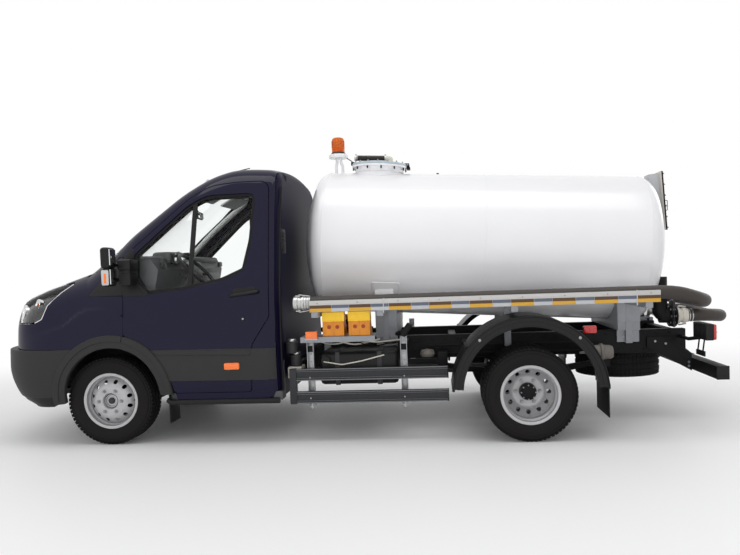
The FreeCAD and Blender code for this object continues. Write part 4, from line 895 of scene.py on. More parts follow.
def cab_panels():
    loop, back_edge = shell_loop()
    shell = panel("cab_skin", [loop], FAN_SIDE, "chassis", "navy_paint", step=0.03, slot="navy_paint",
        rim=0.005, depth=0.05)
    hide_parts("cab_shell")
    middle = back_edge.mean(0)
    inner = middle + (back_edge - middle) * [1, 0.992, 0.994]
    # the cab's back takes the darker, uncoated copy of the navy paint: painted shade
    panel("cab_back_skin", [inner], flat_rays((1, 0, 0)), "chassis", "navy_painted_shade", step=0.06, rim=0.005,
        depth=0.04)
    both_sides(door, fender)
    edge = [(y * 0.994, z - 0.003) for y, z in SCREEN_LEFT]
    outline = [*edge, *[(y, 2.064) for y in np.linspace(-0.35, 0.35, 7)], *[(-y, z) for y, z in reversed(edge)],
        *[(y, z + 0.004) for y, z in SCREEN_LOW]]
    view = flat_rays((-0.6, 0, 0.8))
    pane = panel("windscreen_pane", [on_front(outline, 0.004)], view, "chassis", "clear_glass", inset=0.004,
        step=0.06, depth=0.0, rim=0.0005, slot="clear_glass")
    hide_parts("windscreen")
    ring = on_front(outline, 0.009)
    shrunk = [((abs(y) - 0.034) * math.copysign(1, y) if abs(y) > 0.6 else y * 0.96,
        z - 0.045 if z > 1.9 else z + (0.075 if z < 1.45 else 0.0)) for y, z in outline]
    panel("windscreen_border", [ring, on_front(shrunk, 0.009)], view, "chassis", "black_plastic", inset=0.009,
        step=0.05, depth=0.004, rim=0.001)


def fender(side, word):
    lamp_side = [(-0.56, 0.955), (-0.503, 0.99), (-0.472, 1.1), (-0.392, 1.195), (-0.318, 1.262)]
    bonnet_edge = [(-0.34, -0.757), (-0.24, -0.775), (-0.17, -0.783)]
    front = on_front([(-0.548, 0.758), (-0.548, 0.925), (-0.7, 0.932)])
    pillar = on_side([(0.058, 1.402), (0.01, 1.335), (-0.148, 1.152), (0.149, 1.147), (0.149, 0.85)])
    arch = on_side(arc_points(ARCH_OUT + 0.003, 77.0, 127.2))
    low = on_side([(-0.42, 0.758), (-0.6, 0.759), (-0.7, 0.759)])
    low_front = on_front([(-0.8, 0.759), (-0.7, 0.758)])
    loop = np.concatenate([front, on_side(lamp_side), on_top(bonnet_edge), pillar, arch, low, low_front])
    skin = panel(f"{word}_fender", [loop], FAN_FRONT, "chassis", "navy_paint", side=side, step=0.024,
        slot="navy_paint", rim=0.005)
    if side < 0:
        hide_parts("front_wings")
    for name, first, last in (("front", 77.4, 186), ("rear", 2, 76.4)):
        arc = [*arc_points(ARCH_OUT, first, last), *reversed(arc_points(ARCH_IN, first, last))]
        side_panel(side, f"{word}_flare_{name}", [arc], "chassis", "dark_plastic", -0.014, step=0.02,
            depth=0.03, rim=0.008)
        ridge = [*arc_points(ARCH_OUT - 0.004, first + 0.5, last - 0.5), *reversed(arc_points(ARCH_OUT - 0.036,
            first + 0.5, last - 0.5))]
        side_panel(side, f"{word}_flare_ridge_{name}", [ridge], "chassis", "dark_plastic", -0.021, step=0.015,
            depth=0.008, rim=0.007)
    triangle = rounded_loop([(-0.14, 1.156), (0.149, 1.156), (0.149, 1.448, 0.03), (0.105, 1.436, 0.03),
        (0.02, 1.345, 0.3)], 0.006)
    side_panel(side, f"{word}_pillar_foot", [triangle], "chassis", "black_plastic", -0.002, depth=0.02,
        rim=0.003)
    for name, low_x, high in (("front", 1.142, 1.281), ("rear", 1.287, 1.325)):
        shape = [(low_x - 0.008, 0.497), (low_x, 0.723), (high, 0.723), (high, 0.497)]
        side_panel(side, f"{word}_sill_cladding_{name}", [shape], "chassis", "dark_plastic", -0.01, rim=0.006)


cab_panels()

bonnet_left = [(-0.935, -0.5), (-0.9, -0.6), (-0.8, -0.675), (-0.6, -0.715), (-0.36, -0.75), (-0.235, -0.772)]
bonnet_rear = [(-0.305 + 0.07 * (y / 0.772) ** 2, y) for y in np.linspace(-0.7, 0.7, 11)]
bonnet_front = [(-0.965 + 0.03 * (y / 0.5) ** 2, y) for y in np.linspace(0.4, -0.4, 7)]
bonnet_left = behind_shelf(bonnet_left)
bonnet_front = behind_shelf(bonnet_front)
bonnet_loop = bonnet_left + bonnet_rear + [(x, -y) for x, y in reversed(bonnet_left)] + bonnet_front
bonnet_skin = panel("bonnet_skin", [on_top(bonnet_loop)], flat_rays((-0.4, 0, 0.916)), "bonnet", "navy_paint",
    step=0.03, slot="navy_paint", rim=0.005)
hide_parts("bonnet")


# ---------------------------------------------------------------- cab: nose, lamps and outside trim


def local(u, y, z):
    """A point given from the front axle along the vehicle."""
    return Vector((AXLE_X + u, y, z))


def nose_panels():
    left = np.concatenate([on_front([(-0.4, 0.746), (-0.65, 0.746), (-0.8, 0.746)]),
        on_side([(-0.72, 0.746), (-0.6, 0.746), (-0.42, 0.746)]), on_side(arc_points(ARCH_OUT + 0.003, 128.6,
        178)), on_side([(-0.43, 0.388), (-0.6, 0.386)]), on_front([(-0.8, 0.384), (-0.6, 0.382),
        (-0.3, 0.381)])])
    loop = np.concatenate([left, left[::-1] * [1, -1, 1]])
    fog = on_front(rounded_loop([(-0.8, 0.455), (-0.625, 0.445), (-0.625, 0.545), (-0.8, 0.535)], 0.03))
    intake = on_front(rounded_loop([(-0.47, 0.44), (0.47, 0.44), (0.47, 0.6), (-0.47, 0.6)], 0.03))
    bumper = panel("bumper_skin", [loop, fog, fog[::-1] * [1, -1, 1], intake], FAN_FRONT, "chassis",
        "dark_plastic", step=0.03, rim=0.008, depth=0.07, slot="dark_plastic")
    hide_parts("front_bumper")
    lip = np.concatenate([on_side(arc_points(ARCH_OUT + 0.003, 180, 187, 4), 0.01),
        on_side([(-0.45, 0.312), (-0.6, 0.302)], 0.01), on_front([(-0.8, 0.298), (-0.6, 0.294), (-0.3, 0.292)],
        0.01)])
    upper = np.concatenate([on_front([(-0.3, 0.372), (-0.6, 0.373), (-0.8, 0.375)], 0.01),
        on_side([(-0.6, 0.377), (-0.43, 0.379)], 0.01)])
    half = np.concatenate([upper, lip])
    panel("bumper_lip", [np.concatenate([half, half[::-1] * [1, -1, 1]])], FAN_FRONT, "chassis",
        "black_plastic", inset=0.01, step=0.04, rim=0.008, depth=0.05)
    ahead = flat_rays((-1, 0, 0))
    back = [(-0.56, 0.43), (0.56, 0.43), (0.56, 0.99), (-0.56, 0.99)]
    panel("grille_back", [on_front(back, 0.055)], ahead, "chassis", "black_rubber", inset=0.055, step=0.06,
        depth=0.002, rim=0.001)
    for i in range(5):
        low = 0.762 + 0.047 * i
        bar = rounded_loop([(-0.541, low), (0.541, low), (0.541, low + 0.026), (-0.541, low + 0.026)], 0.006)
        skin = panel(f"grille_slat_{i}", [on_front(bar, 0.012)], ahead, "chassis", "black_plastic", inset=0.012,
            step=0.03, depth=0.03, rim=0.005)
        if i == 0:
            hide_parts("grille")
    for i in range(3):
        low = 0.462 + 0.045 * i
        bar = [(-0.465, low), (0.465, low), (0.465, low + 0.016), (-0.465, low + 0.016)]
        panel(f"intake_slat_{i}", [on_front(bar, 0.025)], ahead, "chassis", "black_plastic", inset=0.025,
            step=0.04, depth=0.02, rim=0.004)
    plate = on_front([(-0.26, 0.635), (0.26, 0.635), (0.26, 0.735), (-0.26, 0.735)], -0.004)
    panel("front_plate", [plate], ahead, "chassis", "cream_plastic", inset=-0.004, step=0.05, depth=0.003,
        rim=0.001)


def headlamp(side, word):
    tip = [(-0.325, 1.252)]
    under = [(-0.398, 1.188), (-0.479, 1.094), (-0.511, 0.989), (-0.565, 0.963)]
    nose_low = [(-0.7, 0.94), (-0.556, 0.935)]
    top = [(-0.922, -0.558), (-0.893, -0.616), (-0.796, -0.688), (-0.6, -0.728), (-0.42, -0.752)]

    def loop(inset):
        return np.concatenate([on_side(tip, inset), on_side(under, inset), on_front(nose_low, inset),
            on_top(behind_shelf(top), inset)])
    lens = panel(f"{word}_lamp_glass", [loop(0.0)], FAN_FRONT, "chassis", "lamp_lens", side=side, step=0.025,
        depth=0.004, rim=0.003, slot="lamp_lens")
    if side < 0:
        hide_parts("headlamps")
    panel(f"{word}_lamp_bowl", [loop(0.05)], FAN_FRONT, "chassis", "lamp_inner", inset=0.05, side=side,
        step=0.03, depth=-0.03, rim=0.0)
    spots = on_front([(-0.63, 1.0), (-0.74, 1.035)], 0.045)
    spots = np.concatenate([spots, on_side([(-0.6, 1.1)], 0.045)])
    lamps = Build()
    for i, ((x, y, z), size) in enumerate(zip(spots, (0.042, 0.05, 0.036))):
        place = local(x - 0.012, y * -side, z)
        way = Vector((-1, 0.35 * side * (1 + i), 0.25))
        lamps.lathe([(-0.03, 0), (-0.028, 0.012), (-0.022, size * 0.6), (0.0, size), (0.004, size + 0.005),
            (0.002, size + 0.008), (-0.03, size + 0.004), (-0.03, 0)], place, way, "chrome", 32)
        lamps.lathe([(-0.02, 0.009), (0.0, 0.011), (0.006, 0.006), (0.008, 0)], place, way,
            "amber_lens" if i == 2 else "lamp_lens", 16)
    for edge in ([*on_side(tip), *on_side(under)], on_top(behind_shelf(top))):
        lamps.tube([local(x, y * -side, z) for x, y, z in edge], 0.0045, "chrome", 8, 0.02)
    lamps.finish(f"{word}_lamp_reflectors")


def side_y(u, z):
    """The half width of the skin at a place along and up."""
    return -on_side([(u, z)])[0][1]


def mirrors(side, word):
    body = DOOR_BODY[side]
    build = Build()

    foot = side_y(0.2, 1.33)
    head = Matrix.Rotation(math.radians(-8 * side), 4, "Z")
    for x0, x1, inset, z0, z1, paint, bevel in (
            (0.098, 0.168, 0.0, 1.362, 1.517, "black_plastic", 0.022),
            (0.11, 0.168, 0.004, 1.23, 1.366, "black_plastic", 0.018),
            (0.102, 0.16, -0.003, 1.236, 1.354, "alloy", 0.014),
            (0.118, 0.146, -0.005, 1.248, 1.33, "lamp_orange", 0.01),
            (0.163, 0.172, 0.014, 1.385, 1.502, "chrome", 0.003),
            (0.163, 0.172, 0.014, 1.245, 1.355, "chrome", 0.003)):
        build.slab(side, AXLE_X + x0, AXLE_X + x1, 1.068 + inset, 1.232 - inset, z0, z1, paint, bevel, head)
    for z0, z1, inset, bevel in (
            (1.345, 1.425, 0.0, 0.016),
            (1.322, 1.35, 0.01, 0.004),
            (1.228, 1.328, 0.004, 0.016)):
        build.slab(side, AXLE_X + 0.176 + inset, AXLE_X + 0.28 - inset, foot - 0.02 + inset, 1.105 - inset, z0,
            z1, "black_plastic", bevel)
    for z in (1.278, 1.388):
        start, end = local(0.15, side * 1.085, z), local(0.215, side * (side_y(0.215, z) - 0.012), z - 0.004)
        build.tube([start, (start + end) / 2 + Vector((0.004, 0, 0)), end], 0.0135, "black_plastic", 12)
        way = (end - start).normalized()
        for i in range(7):
            build.rod(start.lerp(end, 0.16 + 0.1 * i), way, 0.0165, 0.005, "black_plastic", 14, 0.001)
    build.slab(side, AXLE_X + 0.176, AXLE_X + 0.248, foot - 0.03, foot + 0.022, 1.245, 1.43, "black_plastic",
        0.018)
    build.finish(f"{word}_mirror_set", body, slot="mirror_plastic", replaces=(f"{word}_mirror",))


def door_details(side, word):
    body = DOOR_BODY[side]
    build = Build()
    face = side_y(1.1, 1.14)
    grip = [local(1.0, side * (face - 0.012), 1.122), local(1.01, side * (face + 0.03), 1.128),
        local(1.1, side * (face + 0.036), 1.138), local(1.205, side * (face + 0.03), 1.152),
        local(1.214, side * (face - 0.012), 1.156)]
    build.tube(grip, 0.0125, "black_plastic", 14, 0.02)
    lock = local(1.089, side * (side_y(1.089, 0.951) - 0.002), 0.951)
    build.rod(lock, (0, side, 0), 0.016, 0.007, "black_plastic", 24)
    build.rod(lock, (0, side, 0), 0.008, 0.009, "nut_steel", 16)
    marker = 1.038
    build.slab(side, AXLE_X + 0.935, AXLE_X + 1.055, marker - 0.03, marker + 0.008, 0.573, 0.627, "lamp_orange",
        0.012)
    build.finish(f"{word}_door_fittings", body)
    cup = rounded_loop([(1.015, 1.128), (1.19, 1.148), (1.185, 1.19), (1.02, 1.176)], 0.02)
    side_panel(side, f"{word}_handle_cup", [cup], body, "black_plastic", -0.0012, step=0.02, depth=0.001,
        rim=0.001)
    card = Build()
    card.slab(side, AXLE_X + 0.42, AXLE_X + 1.02, 0.835, 0.905, 1.02, 1.085, "cabin_grey", 0.02)
    card.slab(side, AXLE_X + 0.36, AXLE_X + 1.06, 0.835, 0.905, 0.62, 0.74, "cabin_dark", 0.02)
    card.finish(f"{word}_door_armrest", body)


def arch_liner(side, word):
    """A thin curved shield inside the front wheel arch, and its inner wall."""
    angles = np.radians(np.linspace(8, 172, 36))
    build = Build()
    verts = []
    for radius in (0.452, 0.458):
        for y in (0.56, 0.99):
            verts += [local(ARCH_MID[0] + radius * math.cos(a), side * y, ARCH_MID[1] + radius * math.sin(a))
                for a in angles]
    n = len(angles)
    faces = []
    for i in range(n - 1):
        a, b, c, d = i, n + i, 2 * n + i, 3 * n + i
        faces += [(a, a + 1, b + 1, b), (c, d, d + 1, c + 1), (a, c, c + 1, a + 1), (b, b + 1, d + 1, d)]
    faces += [(0, n, 3 * n, 2 * n), (n - 1, 3 * n - 1, 4 * n - 1, 2 * n - 1)]
    if side > 0:
        faces = [tuple(reversed(f)) for f in faces]
    build.add(verts, faces, "black_plastic")
    wall = [local(ARCH_MID[0] + 0.45 * math.cos(a), side * 0.556, ARCH_MID[1] + 0.45 * math.sin(a))
        for a in np.radians(np.linspace(28, 152, 20))]
    thick = [v + Vector((0, -side * 0.004, 0)) for v in wall]
    m = len(wall)
    rim = [(i, (i + 1) % m, m + (i + 1) % m, m + i) for i in range(m)]
    build.add(wall + thick, [tuple(range(m)), tuple(reversed(range(m, 2 * m))), *rim], "black_plastic")
    build.slab(side, AXLE_X + 0.478, AXLE_X + 0.49, 0.79, 0.985, 0.165, 0.4, "black_rubber", 0.004)
    build.finish(f"{word}_arch_liner")


def cowl_and_wipers():
    lead = [(-0.298 + 0.07 * (y / 0.772) ** 2, y) for y in np.linspace(-0.7, 0.7, 11)]
    corner = on_side([(0.048, 1.392)])
    foot = on_front([(0.85, 1.447), (0.7, 1.402)])
    low = on_front([(y, z - 0.003) for y, z in SCREEN_LOW])
    right = corner * [1, -1, 1]
    loop = np.concatenate([on_top([(-0.176, -0.776)]), on_top(lead), on_top([(-0.176, 0.776)]), right, foot,
        low, foot[::-1] * [1, -1, 1], corner])
    panel("cowl", [loop], flat_rays((-0.3, 0, 0.954)), "chassis", "black_plastic", step=0.03, depth=0.03,
        rim=0.003)
    build = Build()
    for pivot, tip in (((-0.55, 1.395), (0.12, 1.42)), ((0.16, 1.385), (0.74, 1.46))):
        ys = np.linspace(pivot[0], tip[0], 9)
        zs = np.linspace(pivot[1] + 0.035, tip[1] + 0.045, 9)
        skin = on_front(list(zip(ys, zs)), -0.018)
        build.tube([local(*p) for p in skin], 0.006, "black_plastic", 8)
        blade = on_front([(y, z - 0.016) for y, z in zip(ys, zs)], -0.006)
        build.tube([local(*p) for p in blade], 0.007, "black_rubber", 8)
        base = on_front([(pivot[0], pivot[1])], -0.004)[0]
        build.tube([local(*base), local(*skin[0])], 0.008, "black_plastic", 8)
        build.rod(local(*base) + Vector((-0.006, 0, -0.01)), (-0.5, 0, 0.85), 0.016, 0.03, "black_plastic", 20)
    build.finish("wipers")


def cab_trim():
    nose_panels()
    both_sides(headlamp, mirrors, door_details, arch_liner)
    cowl_and_wipers()
    build = Build()
    for side in (-1, 1):
        build.tube([local(0.47, side * 0.975, 0.345), local(0.5, side * 0.985, 0.328),
            local(1.34, side * 0.985, 0.328)], 0.022, "black_plastic", 16, 0.03)
        fog = local(*(on_front([(-0.712, 0.495)], 0.03)[0] * [1, -side, 1]))
        ahead = Vector((-1, 0.75 * side, 0))
        build.rod(fog, ahead, 0.038, 0.01, "lamp_lens", 32, 0.004)
        build.lathe([(-0.03, 0.002), (-0.03, 0.03), (-0.004, 0.046), (0.006, 0.048), (0.008, 0.044),
            (-0.006, 0.04), (-0.03, 0.002)], fog, ahead, "chrome", 32)
        corner = [local(1.366, side * y, z) for y, z in ((0.965, 0.4), (0.985, 0.75), (0.955, 1.2),
            (0.86, 1.62), (0.74, 1.95))]
        build.tube(corner, 0.006, "black_rubber", 8)
        for i in range(6):
            z = 1.455 + 0.026 * i
            build.slab(side, AXLE_X + 1.352, AXLE_X + 1.368, 0.67, 0.79, z, z + 0.016, "black_plastic", 0.004)
        build.slab(side, AXLE_X + 1.35, AXLE_X + 1.363, 0.655, 0.805, 1.435, 1.625, "black_plastic", 0.01)
    build.tube([local(0.8, 0.0, 2.15), local(0.79, 0.0, 2.19), local(0.93, 0.0, 2.215)], 0.004, "black_rubber",
        8)
    build.finish("cab_fittings")


cab_trim()


# ---------------------------------------------------------------- cab: inside

DRIVER_Y = -0.42
WHEEL_LEAN = math.radians(45)
WHEEL_RADIUS = 0.19


def crowned_pad(low, high, puff, lean=0.0, pivot=None, cells=12, corner=0.035):
    """A soft pad: a rounded block whose broad faces swell; lean tips it about a pivot, in degrees."""
    work = bmesh.new()
    bmesh.ops.create_cube(work, size=1)
    bmesh.ops.subdivide_edges(work, edges=work.edges[:], cuts=cells, use_grid_fill=True)
    low, high = Vector(low), Vector(high)
    size = high - low
    mid = (low + high) / 2
    tilt = Matrix.Rotation(math.radians(lean), 3, "Y")
    thin = min(range(3), key=lambda i: size[i])
    for vert in work.verts:
        unit = vert.co * 2
        inner = Vector(max(-1, min(1, unit[i])) * (size[i] / 2 - corner) for i in range(3))
        push = Vector(unit[i] if abs(unit[i]) > 0.98 else 0.0 for i in range(3))
        spot = inner + (push.normalized() * corner if push.length > 0 else Vector())
        swell = 1.0
        for i in range(3):
            if i != thin:
                swell *= max(0.0, 1 - (unit[i] ** 2)) ** 0.5
        spot[thin] += math.copysign(puff * swell, unit[thin]) * (abs(unit[thin]) > 0.98)
        vert.co = mid + spot
        if pivot:
            vert.co = pivot + tilt @ (vert.co - pivot)
    verts = [v.co.copy() for v in work.verts]
    faces = [tuple(v.index for v in f.verts) for f in work.faces]
    work.free()
    return verts, faces


def seat(name, middle, width, places):
    build = Build()
    half = width / 2
    each = width / places
    for i in range(places):
        left = middle - half + each * i + 0.006
        right = middle - half + each * (i + 1) - 0.006
        inner_l, inner_r = left + 0.055, right - 0.055
        build.add(*crowned_pad(local(0.66, inner_l, 0.8), local(1.1, inner_r, 0.9), 0.014), "seat_fabric")
        for a, b in ((left, left + 0.075), (right - 0.075, right)):
            build.add(*crowned_pad(local(0.665, a, 0.8), local(1.09, b, 0.915), 0.006, cells=8, corner=0.03),
                "seat_dark")
        pivot = local(1.13, 0, 0.86)
        build.add(*crowned_pad(local(1.085, inner_l, 0.86), local(1.165, inner_r, 1.44), 0.016, 7, pivot),
            "seat_fabric")
        for a, b in ((left, left + 0.075), (right - 0.075, right)):
            build.add(*crowned_pad(local(1.06, a, 0.87), local(1.165, b, 1.4), 0.006, 7, pivot, 8, 0.03),
                "seat_dark")
        middle_y = (left + right) / 2
        build.add(*crowned_pad(local(1.175, middle_y - 0.125, 1.485), local(1.262, middle_y + 0.125, 1.655),
            0.012, 5, local(1.2, 0, 1.5), 8, 0.03), "seat_dark")
        for shift in (-0.05, 0.05):
            build.tube([local(1.185, middle_y + shift, 1.4), local(1.215, middle_y + shift, 1.52)], 0.006,
                "chrome", 8)
    build.box(local(0.68, middle - half + 0.02, 0.755), local(1.14, middle + half - 0.02, 0.8), "cabin_dark",
        0.01)
    return build.finish(name, "chassis", 50)


def boxes_from_axle(build, rows):
    """Adds boxes by rows of low corner, high corner, finish and bevel, given from the front axle."""
    for low, high, paint, bevel in rows:
        build.box(local(*low), local(*high), paint, bevel)


def cabin():
    first = seat("driver_seat", DRIVER_Y, 0.48, 1)
    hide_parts("seats")
    seat("bench_seat", 0.38, 0.9, 2)
    softened("cab_floor", "cabin_dark", 0.004)
    softened("dashboard", "cabin_dark", 0.02)
    build = Build()
    for y0, y1 in ((-0.66, -0.18), (0.12, 0.8)):
        build.box(local(0.14, y0, 1.395), local(0.37, y1, 1.452), "cabin_dark", 0.025,
            Matrix.Rotation(math.radians(4), 4, "Y"))
    boxes_from_axle(build, [
        ((0.24, -0.6, 1.4), (0.4, -0.24, 1.485), "cabin_dark", 0.03),
        ((0.385, -0.57, 1.385), (0.405, -0.27, 1.468), "black_plastic", 0.008)])
    for y in (-0.5, -0.34):
        build.lathe([(0, 0), (0.0, 0.038), (0.006, 0.042), (0.008, 0.036), (0.004, 0.034), (0.003, 0)],
            local(0.404, y, 1.428), ALONG, "chrome", 24)
    boxes_from_axle(build, [
        ((0.345, -0.13, 1.06), (0.425, 0.13, 1.4), "cabin_grey", 0.02),
        ((0.415, -0.1, 1.26), (0.432, 0.1, 1.345), "black_plastic", 0.006)])
    for y in (-0.07, 0.0, 0.07):
        build.rod(local(0.42, y, 1.2), ALONG, 0.019, 0.022, "black_plastic", 20)
    for y in (-0.76, 0.76, -0.06, 0.06):
        build.box(local(0.385, y - 0.05, 1.352), local(0.408, y + 0.05, 1.402), "black_plastic", 0.01)
        for i in range(4):
            build.box(local(0.402, y - 0.042, 1.36 + 0.009 * i), local(0.411, y + 0.042, 1.363 + 0.009 * i),
                "cabin_grey", 0.001)
    build.box(local(0.37, 0.28, 1.16), local(0.4, 0.74, 1.3), "cabin_grey", 0.012)
    build.tube([local(0.4, 0.0, 1.1), local(0.47, 0.0, 1.16)], 0.012, "black_rubber", 10)
    build.add(*turned([(-0.02, 0), (-0.016, 0.016), (0, 0.024), (0.02, 0.018), (0.026, 0)],
        local(0.48, 0, 1.17), (0.6, 0, 0.8), 20), "black_plastic")
    for y in (-0.51, DRIVER_Y, -0.33):
        build.box(local(0.17, y - 0.03, 0.76), local(0.19, y + 0.03, 0.86), "black_rubber", 0.006)
    build.tube([local(0.34, DRIVER_Y, 1.1), local(0.5, DRIVER_Y, 1.262)], 0.045, "cabin_dark", 18)
    for y in (-0.6, -0.24):
        build.tube([local(0.47, DRIVER_Y, 1.262), local(0.475, y, 1.3)], 0.008, "black_plastic", 10)
    boxes_from_axle(build, [
        ((0.14, -0.5, 0.618), (0.42, 0.5, 0.632), "black_rubber", 0.006),
        ((0.4, -0.8, 0.618), (0.66, 0.8, 0.632), "black_rubber", 0.006),
        ((0.16, -0.86, 0.71), (0.19, 0.86, 1.05), "cabin_dark", 0.01),
        ((1.285, -0.8, 0.68), (1.3, 0.8, 1.86), "cabin_grey", 0.02)])
    for side in (-1, 1):
        strap = [local(1.26, side * 0.8, 1.7), local(1.24, side * 0.78, 1.3), local(1.22, side * 0.77, 0.86)]
        build.tube(strap, 0.012, "black_rubber", 8)
        pillar = on_front([((abs(y) - 0.045) * math.copysign(1, y), z) for y, z in SCREEN_LEFT[:-1]], 0.045)
        build.tube([local(x, y * -side, z) for x, y, z in pillar], 0.026, "headliner", 10)
        post = on_side([(1.27, 0.8), (1.27, 1.2), (1.26, 1.55), (1.25, 1.85)], 0.05)
        build.tube([local(x, y * -side, z) for x, y, z in post], 0.03, "headliner", 10)
        build.slab(side, AXLE_X + 0.61, AXLE_X + 0.77, 0.12, 0.58, 1.925, 1.945, "headliner", 0.009,
            Matrix.Rotation(math.radians(-28), 4, "Y"))
    build.finish("cabin_trim", "chassis", 40)
    mirror = Build()
    askew = Matrix.Rotation(math.radians(8), 4, "Z")
    mirror.box(local(0.445, -0.115, 1.775), local(0.475, 0.115, 1.842), "black_plastic", 0.012, askew)
    mirror.box(local(0.47, -0.105, 1.783), local(0.478, 0.105, 1.834), "chrome", 0.003, askew,
        local(0.46, 0, 1.81))
    mirror.tube([local(0.452, 0, 1.84), local(0.43, 0, 1.872)], 0.008, "black_plastic", 8)
    mirror.finish("cabin_mirror")
    lining = on_top([(0.8, -0.6), (0.8, 0.6), (1.28, 0.6), (1.28, -0.6)], 0.05)
    panel("headlining", [lining], flat_rays((0, 0, 1)), "chassis", "headliner", inset=0.05, step=0.06,
        depth=0.006, rim=0.004)


def wheel_to_steer():
    way, side, up = basis((math.sin(WHEEL_LEAN), 0, math.cos(WHEEL_LEAN)))
    middle = local(0.56, DRIVER_Y, 1.32)
    build = Build()
    ring = [middle + (side * math.cos(a) + up * math.sin(a)) * WHEEL_RADIUS
        for a in np.linspace(0, 2 * math.pi, 49)]
    build.tube(ring, 0.0145, "black_plastic", 14)
    build.lathe([(-0.05, 0), (-0.05, 0.035), (-0.03, 0.055), (0.0, 0.07), (0.012, 0.055), (0.016, 0.0)],
        middle - way * 0.012, way, "cabin_dark", 32)
    for a in (0.25, math.pi - 0.25, math.pi + 0.9, -0.9):
        out = side * math.cos(a) + up * math.sin(a)
        build.tube([middle + out * 0.05 - way * 0.018, middle + out * 0.185 - way * 0.002], 0.011,
            "black_plastic", 10)
    build.finish("steering_wheel_finished", "steering_wheel", slot="cabin_plastic",
        replaces=("steering_wheel",))


cabin()
wheel_to_steer()


# ---------------------------------------------------------------- wheels and running gear


def dish(centre_point, out, profile, inner, outer, holes, thickness):
    """A pressed disc with round holes: profile gives its reach outwards by radius; out is +1 or -1 along Y.

    holes is a list of (count, pitch radius, hole radius, first angle in degrees).
    """
    rings = [[(r * math.cos(a), r * math.sin(a)) for a in np.linspace(0, 2 * math.pi, steps, endpoint=False)]
        for r, steps in ((outer, 96), (inner, 48))]
    for count, pitch, radius, first in holes:
        for i in range(count):
            a = math.radians(first + 360 * i / count)
            mid = (pitch * math.cos(a), pitch * math.sin(a))
            steps = 18 if radius > 0.008 else 10
            rings.append([(mid[0] + radius * math.cos(t), mid[1] + radius * math.sin(t))
                for t in np.linspace(0, 2 * math.pi, steps, endpoint=False)])
    flat = [np.array(r) for r in rings]
    fill = []
    for r in np.arange(inner + 0.007, outer - 0.004, 0.008):
        count = max(24, int(2 * math.pi * r / 0.011))
        fill += [(r * math.cos(a), r * math.sin(a)) for a in np.linspace(0, 2 * math.pi, count, endpoint=False)]
    fill = np.array(fill)
    for ring in flat[2:]:
        middle = ring.mean(0)
        reach = np.linalg.norm(ring[0] - middle)
        fill = fill[np.linalg.norm(fill - middle, axis=1) > reach + 0.0035]
    spots, tris = filled(flat, fill)
    a, b, c = spots[tris[:, 0]], spots[tris[:, 1]], spots[tris[:, 2]]
    clockwise = (b[:, 0] - a[:, 0]) * (c[:, 1] - a[:, 1]) - (b[:, 1] - a[:, 1]) * (c[:, 0] - a[:, 0]) < 0
    tris[clockwise] = tris[clockwise][:, ::-1]
    shape = smooth_curve(profile)
    reach = shape(np.linalg.norm(spots, axis=1))
    front = [Vector(centre_point) + Vector((x, out * y, z)) for (x, z), y in zip(spots, reach)]
    rear = [Vector(centre_point) + Vector((x, out * (y - thickness), z)) for (x, z), y in zip(spots, reach)]
    n = len(front)
    face_out = [tuple(t) if out < 0 else tuple(t[::-1]) for t in tris]
    faces = face_out + [tuple(i + n for i in reversed(f)) for f in face_out]
    seen = {(f[i], f[(i + 1) % 3]) for f in face_out for i in range(3)}
    faces += [(b, a, a + n, b + n) for a, b in seen if (b, a) not in seen]
    return front + rear, faces


def rounded_outline(points, radius):
    """An open outline with its corners rounded, for turning."""
    path = rounded_path([(a, r, 0) for a, r in points], radius, 3)
    return [(p.x, p.y) for p in path]


def tyre_on(build, middle, out):
    """A tyre about Y with side walls, five tread ribs, sipes and lugs."""
    half = 0.098
    section_points = [(-0.07, 0.214), (-0.08, 0.216), (-0.088, 0.226), (-0.0975, 0.262), (-0.096, 0.292),
        (-0.089, 0.318), (-0.08, 0.3285), (-0.06, 0.3325), (0.06, 0.3325), (0.08, 0.3285), (0.089, 0.318),
        (0.096, 0.292), (0.0975, 0.262), (0.088, 0.226), (0.08, 0.216), (0.07, 0.214), (-0.07, 0.214)]
    build.lathe(rounded_outline(section_points, 0.012), middle, (0, out, 0), "tyre_rubber", 120)
    for side in (-1, 1):
        for radius, width in ((0.238, 0.0016), (0.304, 0.0013)):
            ring = [(side * (half - 0.0045 if radius > 0.3 else 0.0885) + side * a, r) for a,
                r in ((-0.004, radius - 0.003), (width + 0.001, radius - 0.001),
                (width + 0.001, radius + 0.001), (-0.004, radius + 0.003), (-0.004, radius - 0.003))]
            if side < 0:
                ring = ring[::-1]
            build.lathe(ring, middle, ACROSS, "tyre_rubber", 96)
    for across, width, long, count, top in (
            (-0.048, 0.03, 0.029, 66, 0.3398),
            (0.0, 0.028, 0.029, 66, 0.34),
            (0.048, 0.03, 0.029, 66, 0.3398),
            (-0.079, 0.023, 0.025, 66, 0.3372),
            (0.079, 0.023, 0.025, 66, 0.3372)):
        block = Build()
        low = (middle[0] - long / 2, middle[1] + across - width / 2, middle[2] + 0.3265)
        high = (middle[0] + long / 2, middle[1] + across + width / 2, middle[2] + top)
        block.box(low, high, "tyre_rubber", 0.0016, segments=1)
        ring_of(build, block, "tyre_rubber", count, middle, ACROSS)


def barrel_on(build, middle):
    """The rim's barrel with rolled lips and a drop centre."""
    points = [(-0.082, 0.196), (-0.086, 0.2155), (-0.08, 0.2185), (-0.074, 0.214), (-0.072, 0.204),
        (-0.045, 0.202), (-0.035, 0.19), (0.02, 0.19), (0.035, 0.202), (0.072, 0.204), (0.074, 0.214),
        (0.08, 0.2185), (0.086, 0.2155), (0.082, 0.196), (0.07, 0.196), (0.034, 0.195), (0.018, 0.183),
        (-0.033, 0.183), (-0.046, 0.195), (-0.082, 0.196)]
    build.lathe(rounded_outline(points, 0.004), middle, ACROSS, "wheel_silver", 96)


